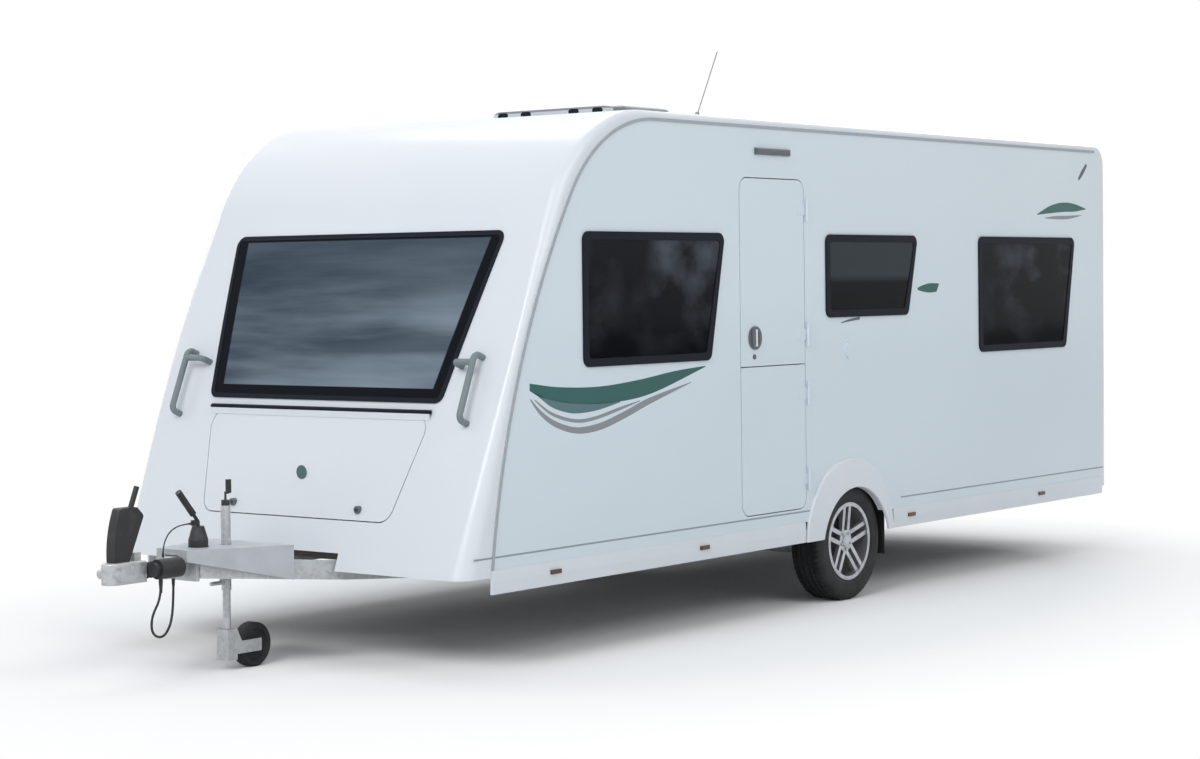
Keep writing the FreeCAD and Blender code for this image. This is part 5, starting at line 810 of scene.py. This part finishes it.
def tyre_mesh(name, side):
    section = [(-x, r, cut) for x, r, cut in reversed(TYRE_HALF_SECTION[1:])] + TYRE_HALF_SECTION
    count = TREAD_BLOCKS * STEPS_PER_BLOCK
    verts = []
    faces = []
    for step in range(count):
        angle = 2 * math.pi * step / count
        phase = step % STEPS_PER_BLOCK
        for x, radius, cut in section:
            lag = (step + int(x > 0) * STEPS_PER_BLOCK // 2) % STEPS_PER_BLOCK if cut < 1 else phase
            drop = NOTCH * cut if lag == 0 else 0.0
            r = radius - drop
            verts.append((
                (WHEEL_CENTRE[0] + x) * side, WHEEL_CENTRE[1] + r * math.sin(angle),
                WHEEL_CENTRE[2] + r * math.cos(angle),
            ))
    width = len(section)
    for step in range(count):
        after = (step + 1) % count
        for i in range(width):
            j = (i + 1) % width
            faces.append((step * width + i, step * width + j, after * width + j, after * width + i))
    data = bpy.data.meshes.new(name)
    data.from_pydata(verts, [], faces)
    mesh = bmesh.new()
    mesh.from_mesh(data)
    bmesh.ops.recalc_face_normals(mesh, faces=mesh.faces)
    mesh.to_mesh(data)
    mesh.free()
    data.shade_smooth()
    data.set_sharp_from_angle(angle=math.radians(SHARP_DEGREES))
    return data


def set_around(name, piece_mesh, count, radius, material):
    """A mesh of one small piece repeated around the X axis, by a geometry nodes group."""
    group = bpy.data.node_groups.new(name, "GeometryNodeTree")
    interface = group.interface
    interface.new_socket("Geometry", in_out="INPUT", socket_type="NodeSocketGeometry")
    count_socket = interface.new_socket("Count", in_out="INPUT", socket_type="NodeSocketInt")
    radius_socket = interface.new_socket("Radius", in_out="INPUT", socket_type="NodeSocketFloat")
    interface.new_socket("Geometry", in_out="OUTPUT", socket_type="NodeSocketGeometry")
    source = group.nodes.new("NodeGroupInput")
    result = group.nodes.new("NodeGroupOutput")
    circle = group.nodes.new("GeometryNodeMeshCircle")
    stand = group.nodes.new("GeometryNodeTransform")
    stand.inputs["Rotation"].default_value = (0, math.pi / 2, 0)
    place_each = group.nodes.new("GeometryNodeInstanceOnPoints")
    real = group.nodes.new("GeometryNodeRealizeInstances")
    paint = group.nodes.new("GeometryNodeSetMaterial")
    paint.inputs["Material"].default_value = material
    link = group.links.new
    link(source.outputs["Count"], circle.inputs["Vertices"])
    link(source.outputs["Radius"], circle.inputs["Radius"])
    link(circle.outputs["Mesh"], stand.inputs["Geometry"])
    link(stand.outputs["Geometry"], place_each.inputs["Points"])
    link(source.outputs["Geometry"], place_each.inputs["Instance"])
    link(place_each.outputs["Instances"], real.inputs["Geometry"])
    link(real.outputs["Geometry"], paint.inputs["Geometry"])
    link(paint.outputs["Geometry"], result.inputs["Geometry"])
    maker = bpy.data.objects.new(name + "_maker", piece_mesh)
    bpy.context.scene.collection.objects.link(maker)
    modifier = maker.modifiers.new("around", "NODES")
    modifier.node_group = group
    modifier[count_socket.identifier] = count
    modifier[radius_socket.identifier] = radius
    seen = bpy.context.evaluated_depsgraph_get()
    made = bpy.data.meshes.new_from_object(maker.evaluated_get(seen))
    bpy.data.objects.remove(maker)
    return made


WASHER_SHARE = 1.15
WASHER_THICK_SHARE = 0.25
TOP_SHARE = 0.86


def bolt_mesh(head, length):
    """A hexagon bolt head with a small washer face, along X."""
    mesh = bmesh.new()
    washer = head * WASHER_SHARE
    step_x = length * WASHER_THICK_SHARE
    rings = []
    for x, radius in ((0.0, washer), (step_x, washer), (step_x, head), (length, head * TOP_SHARE)):
        rings.append([
            mesh.verts.new((x, radius * math.sin(math.pi * k / 3), radius * math.cos(math.pi * k / 3)))
            for k in range(6)
        ])
    join_rings(mesh, rings)
    return to_data("bolt", mesh)


BOLT_COUNT = 5
BOLT_HEAD = 0.0085
BOLT_LENGTH = 0.009
BOLT_CIRCLE = 0.044
HUB_FACE_X = 1.033
for side, name in ((1, "left"), (-1, "right")):
    tyre = to_object("tyre_tread_" + name, tyre_mesh("tyre_tread_" + name, side), rubber)
    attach(tyre, "wheel_" + name)
    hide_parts("tyre_" + name)
alloy, place, end = new_finish("alloy")
fleck = noise(place, 1200.0)
dirt = noise(place, 20.0, 4.0).clamp(0.45, 0.85)
close_finish(
    place, end, Base_Color=dirt.mix(rgb(0.55, 0.57, 0.60), rgb(0.36, 0.36, 0.37)), Metallic=0.8,
    Roughness=0.26 + dirt * 0.2 + fleck * 0.06, Coat_Weight=0.4, Coat_Roughness=0.1,
)
dress(alloy, "rim_left", "rim_right")
for side, name in ((1, "left"), (-1, "right")):
    bolt = bolt_mesh(BOLT_HEAD, BOLT_LENGTH)
    bolts = set_around("wheel_bolts_" + name, bolt, BOLT_COUNT, BOLT_CIRCLE, alloy)
    bolts.transform(Matrix.Translation((HUB_FACE_X, WHEEL_CENTRE[1], WHEEL_CENTRE[2])))
    if side < 0:
        bolts.transform(Matrix.Scale(-1, 4, (1, 0, 0)))
        bolts.flip_normals()
    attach(to_object("wheel_bolts_" + name, bolts), "wheel_" + name)
iron, place, end = new_finish("drum iron")
rust = noise(place, 26.0, 6.0).clamp(0.4, 0.75)
close_finish(
    place, end, Base_Color=rust.mix(rgb(0.08, 0.075, 0.07), rgb(0.16, 0.09, 0.06)), Metallic=0.4,
    Roughness=0.6 + rust * 0.2, Normal=bump(place, rust, 0.3, 0.001),
)
dress(iron, "drum_left", "drum_right")
# Flat black rings between each drum and its rim barrel are painted shade: they darken what is seen through
# the wheel.
SHADE_RING_X = (0.8945, 0.8965)
SHADE_RING_RADII = (0.1195, 0.1780)
SHADE_RING_SIDES = 64
near, far = SHADE_RING_X
bore, rim = SHADE_RING_RADII
for side, name in ((1, "left"), (-1, "right")):
    mesh = bmesh.new()
    rings = []
    for x, radius in ((near, bore), (far, bore), (far, rim), (near, rim)):
        ring = []
        for k in range(SHADE_RING_SIDES):
            angle = math.tau * k / SHADE_RING_SIDES
            y = WHEEL_CENTRE[1] + radius * math.sin(angle)
            z = WHEEL_CENTRE[2] + radius * math.cos(angle)
            ring.append(mesh.verts.new((x * side, y, z)))
        rings.append(ring)
    join_rings(mesh, rings + rings[:1], capped=False)
    put_on("wheel_" + name, "dust_shield_" + name, mesh, black_plastic)

# Drawbar cover
# A pale glass-fibre moulding over the legs behind the coupling.
cover_finish, place, end = new_finish("drawbar cover")
dirt = noise(place, 10.0, 5.0).clamp(0.4, 0.8)
close_finish(
    place, end, Base_Color=dirt.mix(rgb(0.50, 0.52, 0.56), rgb(0.42, 0.44, 0.46)),
    Roughness=0.35 + dirt * 0.2, Normal=bump(place, noise(place, 300.0), 0.15, 0.0005),
)
dress(cover_finish, "drawbar_cover")

# Lamps
# Tail lamps in red with an amber and a clear band, and dark side markers, all with ribbed lenses.
AMBER_FOOT_Z = 0.915
CLEAR_FOOT_Z = 0.715
CLEAR_HEAD_Z = 0.785
BAND_EDGE = 0.002
lens_finish, place, end = new_finish("tail lens")
rib = place.node("ShaderNodeTexWave", {"bands_direction": "Z"}, {"Vector": place, "Scale": 40.0})
height = coordinate(place, "Z")
lens = rib.mix(rgb(0.32, 0.01, 0.01), rgb(0.42, 0.02, 0.015))
amber = height.clamp(AMBER_FOOT_Z, AMBER_FOOT_Z + BAND_EDGE)
lens = amber.mix(lens, rgb(0.62, 0.20, 0.02))
over_foot = height.clamp(CLEAR_FOOT_Z, CLEAR_FOOT_Z + BAND_EDGE)
under_head = 1.0 - height.clamp(CLEAR_HEAD_Z - BAND_EDGE, CLEAR_HEAD_Z)
lens = (over_foot * under_head).mix(lens, rgb(0.62, 0.63, 0.64))
close_finish(
    place, end, Base_Color=lens, Roughness=0.12 + rib * 0.06,
    Normal=bump(place, rib, 0.4, 0.001),
)
dress(lens_finish, "rear_lamps")
marker_finish, place, end = new_finish("marker lens")
rib = place.node("ShaderNodeTexWave", {"bands_direction": "Y"}, {"Vector": place, "Scale": 60.0})
close_finish(
    place, end, Base_Color=rib.mix(rgb(0.060, 0.030, 0.020), rgb(0.100, 0.050, 0.030)),
    Roughness=0.15 + rib * 0.06, Normal=bump(place, rib, 0.4, 0.001),
)
dress(marker_finish, "marker_lamps")

# Floor of the cabin
# Laminated ply, seen from below as dark sealed board.
ply, place, end = new_finish("sealed ply")
streak = noise(place, 6.0, 5.0, (1.0, 8.0, 1.0)).clamp(0.3, 0.75)
close_finish(
    place, end, Base_Color=streak.mix(rgb(0.06, 0.05, 0.045), rgb(0.10, 0.085, 0.07)),
    Roughness=0.6 + streak * 0.15, Normal=bump(place, streak, 0.2, 0.001),
)
dress(ply, "floor_panel")

# Furniture and cushions
# Pale oak laminate cabinets, and crowned seat cushions and mattresses in a woven grey cloth.
oak, place, end = new_finish("oak laminate")
streak = noise(place, 5.0, 6.0, (6.0, 1.0, 0.6)).clamp(0.3, 0.75)
fine = noise(place, 60.0, 3.0, (8.0, 1.0, 0.5))
close_finish(
    place, end, Base_Color=(streak * 0.8 + fine * 0.2).mix(rgb(0.42, 0.30, 0.19), rgb(0.58, 0.45, 0.31)),
    Roughness=0.42 + fine * 0.15, Normal=bump(place, fine, 0.12, 0.0005),
)
dress(oak, "furniture")

cloth, place, end = new_finish("seat cloth")
warp = place.node("ShaderNodeTexWave", {"bands_direction": "Y"}, {"Vector": place, "Scale": 160.0})
weft = place.node("ShaderNodeTexWave", {"bands_direction": "X"}, {"Vector": place, "Scale": 160.0})
fleck = noise(place, 45.0, 5.0)
weave = warp * 0.5 + weft * 0.5
close_finish(
    place, end, Base_Color=(weave * 0.4 + fleck * 0.6).mix(rgb(0.20, 0.21, 0.22), rgb(0.36, 0.36, 0.35)),
    Roughness=0.85 + fleck * 0.1, Normal=bump(place, weave, 0.35, 0.0008),
)
CUSHION_GRID = 28
CUSHIONS = {
    # name: front and rear y, foot and top z
    "seat_cushion": (-2.030, -0.660, 0.7803, 0.900),
    "mattress": (2.0158, 2.9958, 0.7903, 0.900),
}
CUSHION_X = (0.450, 1.062)
SIDE_PULL = 0.020
SEAM_SHARE = 0.42
EDGE_POWER_ABOVE = 10
EDGE_POWER_BELOW = 18
CROWN_EDGE = 0.62
CROWN_RISE = 0.16
PAD_VOXEL = 0.012
PAD_PRESSURE = 4.0
PAD_FRAMES = 20
PAD_CAP = 0.012
PAD_START = 0.982


def crowned(name, front, rear, foot, top):
    """A boxed cushion before it swells: crowned above, flat below, its sides pulled in between corners."""
    mesh = bmesh.new()
    centre_x, half_x = sum(CUSHION_X) / 2, (CUSHION_X[1] - CUSHION_X[0]) / 2 * PAD_START
    centre_y, half_y = (front + rear) / 2, (rear - front) / 2 * PAD_START
    seam = foot + (top - foot) * SEAM_SHARE

    def point(u, v, above):
        x = centre_x + half_x * u * (1 - SIDE_PULL * (1 - v * v))
        y = centre_y + half_y * v * (1 - SIDE_PULL * (1 - u * u))
        power = EDGE_POWER_ABOVE if above else EDGE_POWER_BELOW
        full = math.sqrt(max(0.0, (1 - abs(u) ** power) * (1 - abs(v) ** power)))
        crown = CROWN_EDGE + CROWN_RISE * (1 - u * u) * (1 - v * v)
        reach = (top - seam) * crown if above else foot - seam
        return (x, y, seam + reach * full)

    def spread(index):
        t = 2.0 * index / CUSHION_GRID - 1.0
        return math.sin(t * math.pi / 2)

    rim = {}
    for above in (True, False):
        grid = {}
        for i in range(CUSHION_GRID + 1):
            for j in range(CUSHION_GRID + 1):
                edge = i in (0, CUSHION_GRID) or j in (0, CUSHION_GRID)
                if edge and (i, j) in rim:
                    grid[i, j] = rim[i, j]
                    continue
                grid[i, j] = mesh.verts.new(point(spread(i), spread(j), above))
                if edge:
                    rim[i, j] = grid[i, j]
        for i in range(CUSHION_GRID):
            for j in range(CUSHION_GRID):
                mesh.faces.new((grid[i, j], grid[i + 1, j], grid[i + 1, j + 1], grid[i, j + 1]))
    return to_data(name, mesh)


def as_mesh(piece):
    """What the piece's modifiers make of it, as a new mesh."""
    return bpy.data.meshes.new_from_object(piece.evaluated_get(bpy.context.evaluated_depsgraph_get()))


def swollen(name, front, rear, foot, top):
    """The cushion after its cloth has been blown up a little, held inside the room its solid has."""
    piece = bpy.data.objects.new(name, crowned(name, front, rear, foot, top))
    bpy.context.scene.collection.objects.link(piece)
    remesh = piece.modifiers.new("even mesh", "REMESH")
    remesh.mode = "VOXEL"
    remesh.voxel_size = PAD_VOXEL
    even = as_mesh(piece)
    piece.modifiers.clear()
    piece.data = even
    before = [vertex.co.copy() for vertex in even.vertices]
    pad = piece.modifiers.new("pad", "CLOTH")
    pad.settings.use_pressure = True
    pad.settings.uniform_pressure_force = PAD_PRESSURE
    pad.settings.effector_weights.gravity = 0
    pad.settings.quality = 4
    for frame_number in range(1, PAD_FRAMES + 1):
        bpy.context.scene.frame_set(frame_number)
    after = as_mesh(piece)
    piece.modifiers.clear()
    for vertex, start in zip(after.vertices, before):
        moved = vertex.co - start
        if moved.length > PAD_CAP:
            moved.length = PAD_CAP
        spot = start + moved
        vertex.co = (
            min(max(spot.x, CUSHION_X[0]), CUSHION_X[1]), min(max(spot.y, front), rear),
            min(max(spot.z, foot), top),
        )
    bpy.context.scene.frame_set(1)
    piece.data = after
    data = piece.data
    bpy.data.objects.remove(piece)
    data.shade_smooth()
    return data


for kind, (front, rear, foot, top) in CUSHIONS.items():
    shape = swollen(kind, front, rear, foot, top)
    for side, name in ((1, "left"), (-1, "right")):
        data = shape.copy()
        if side < 0:
            data.transform(Matrix.Scale(-1, 4, (1, 0, 0)))
            data.flip_normals()
        cushion = to_object(kind + "_" + name, data, cloth)
        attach(cushion, "shell")
        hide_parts("cushions")
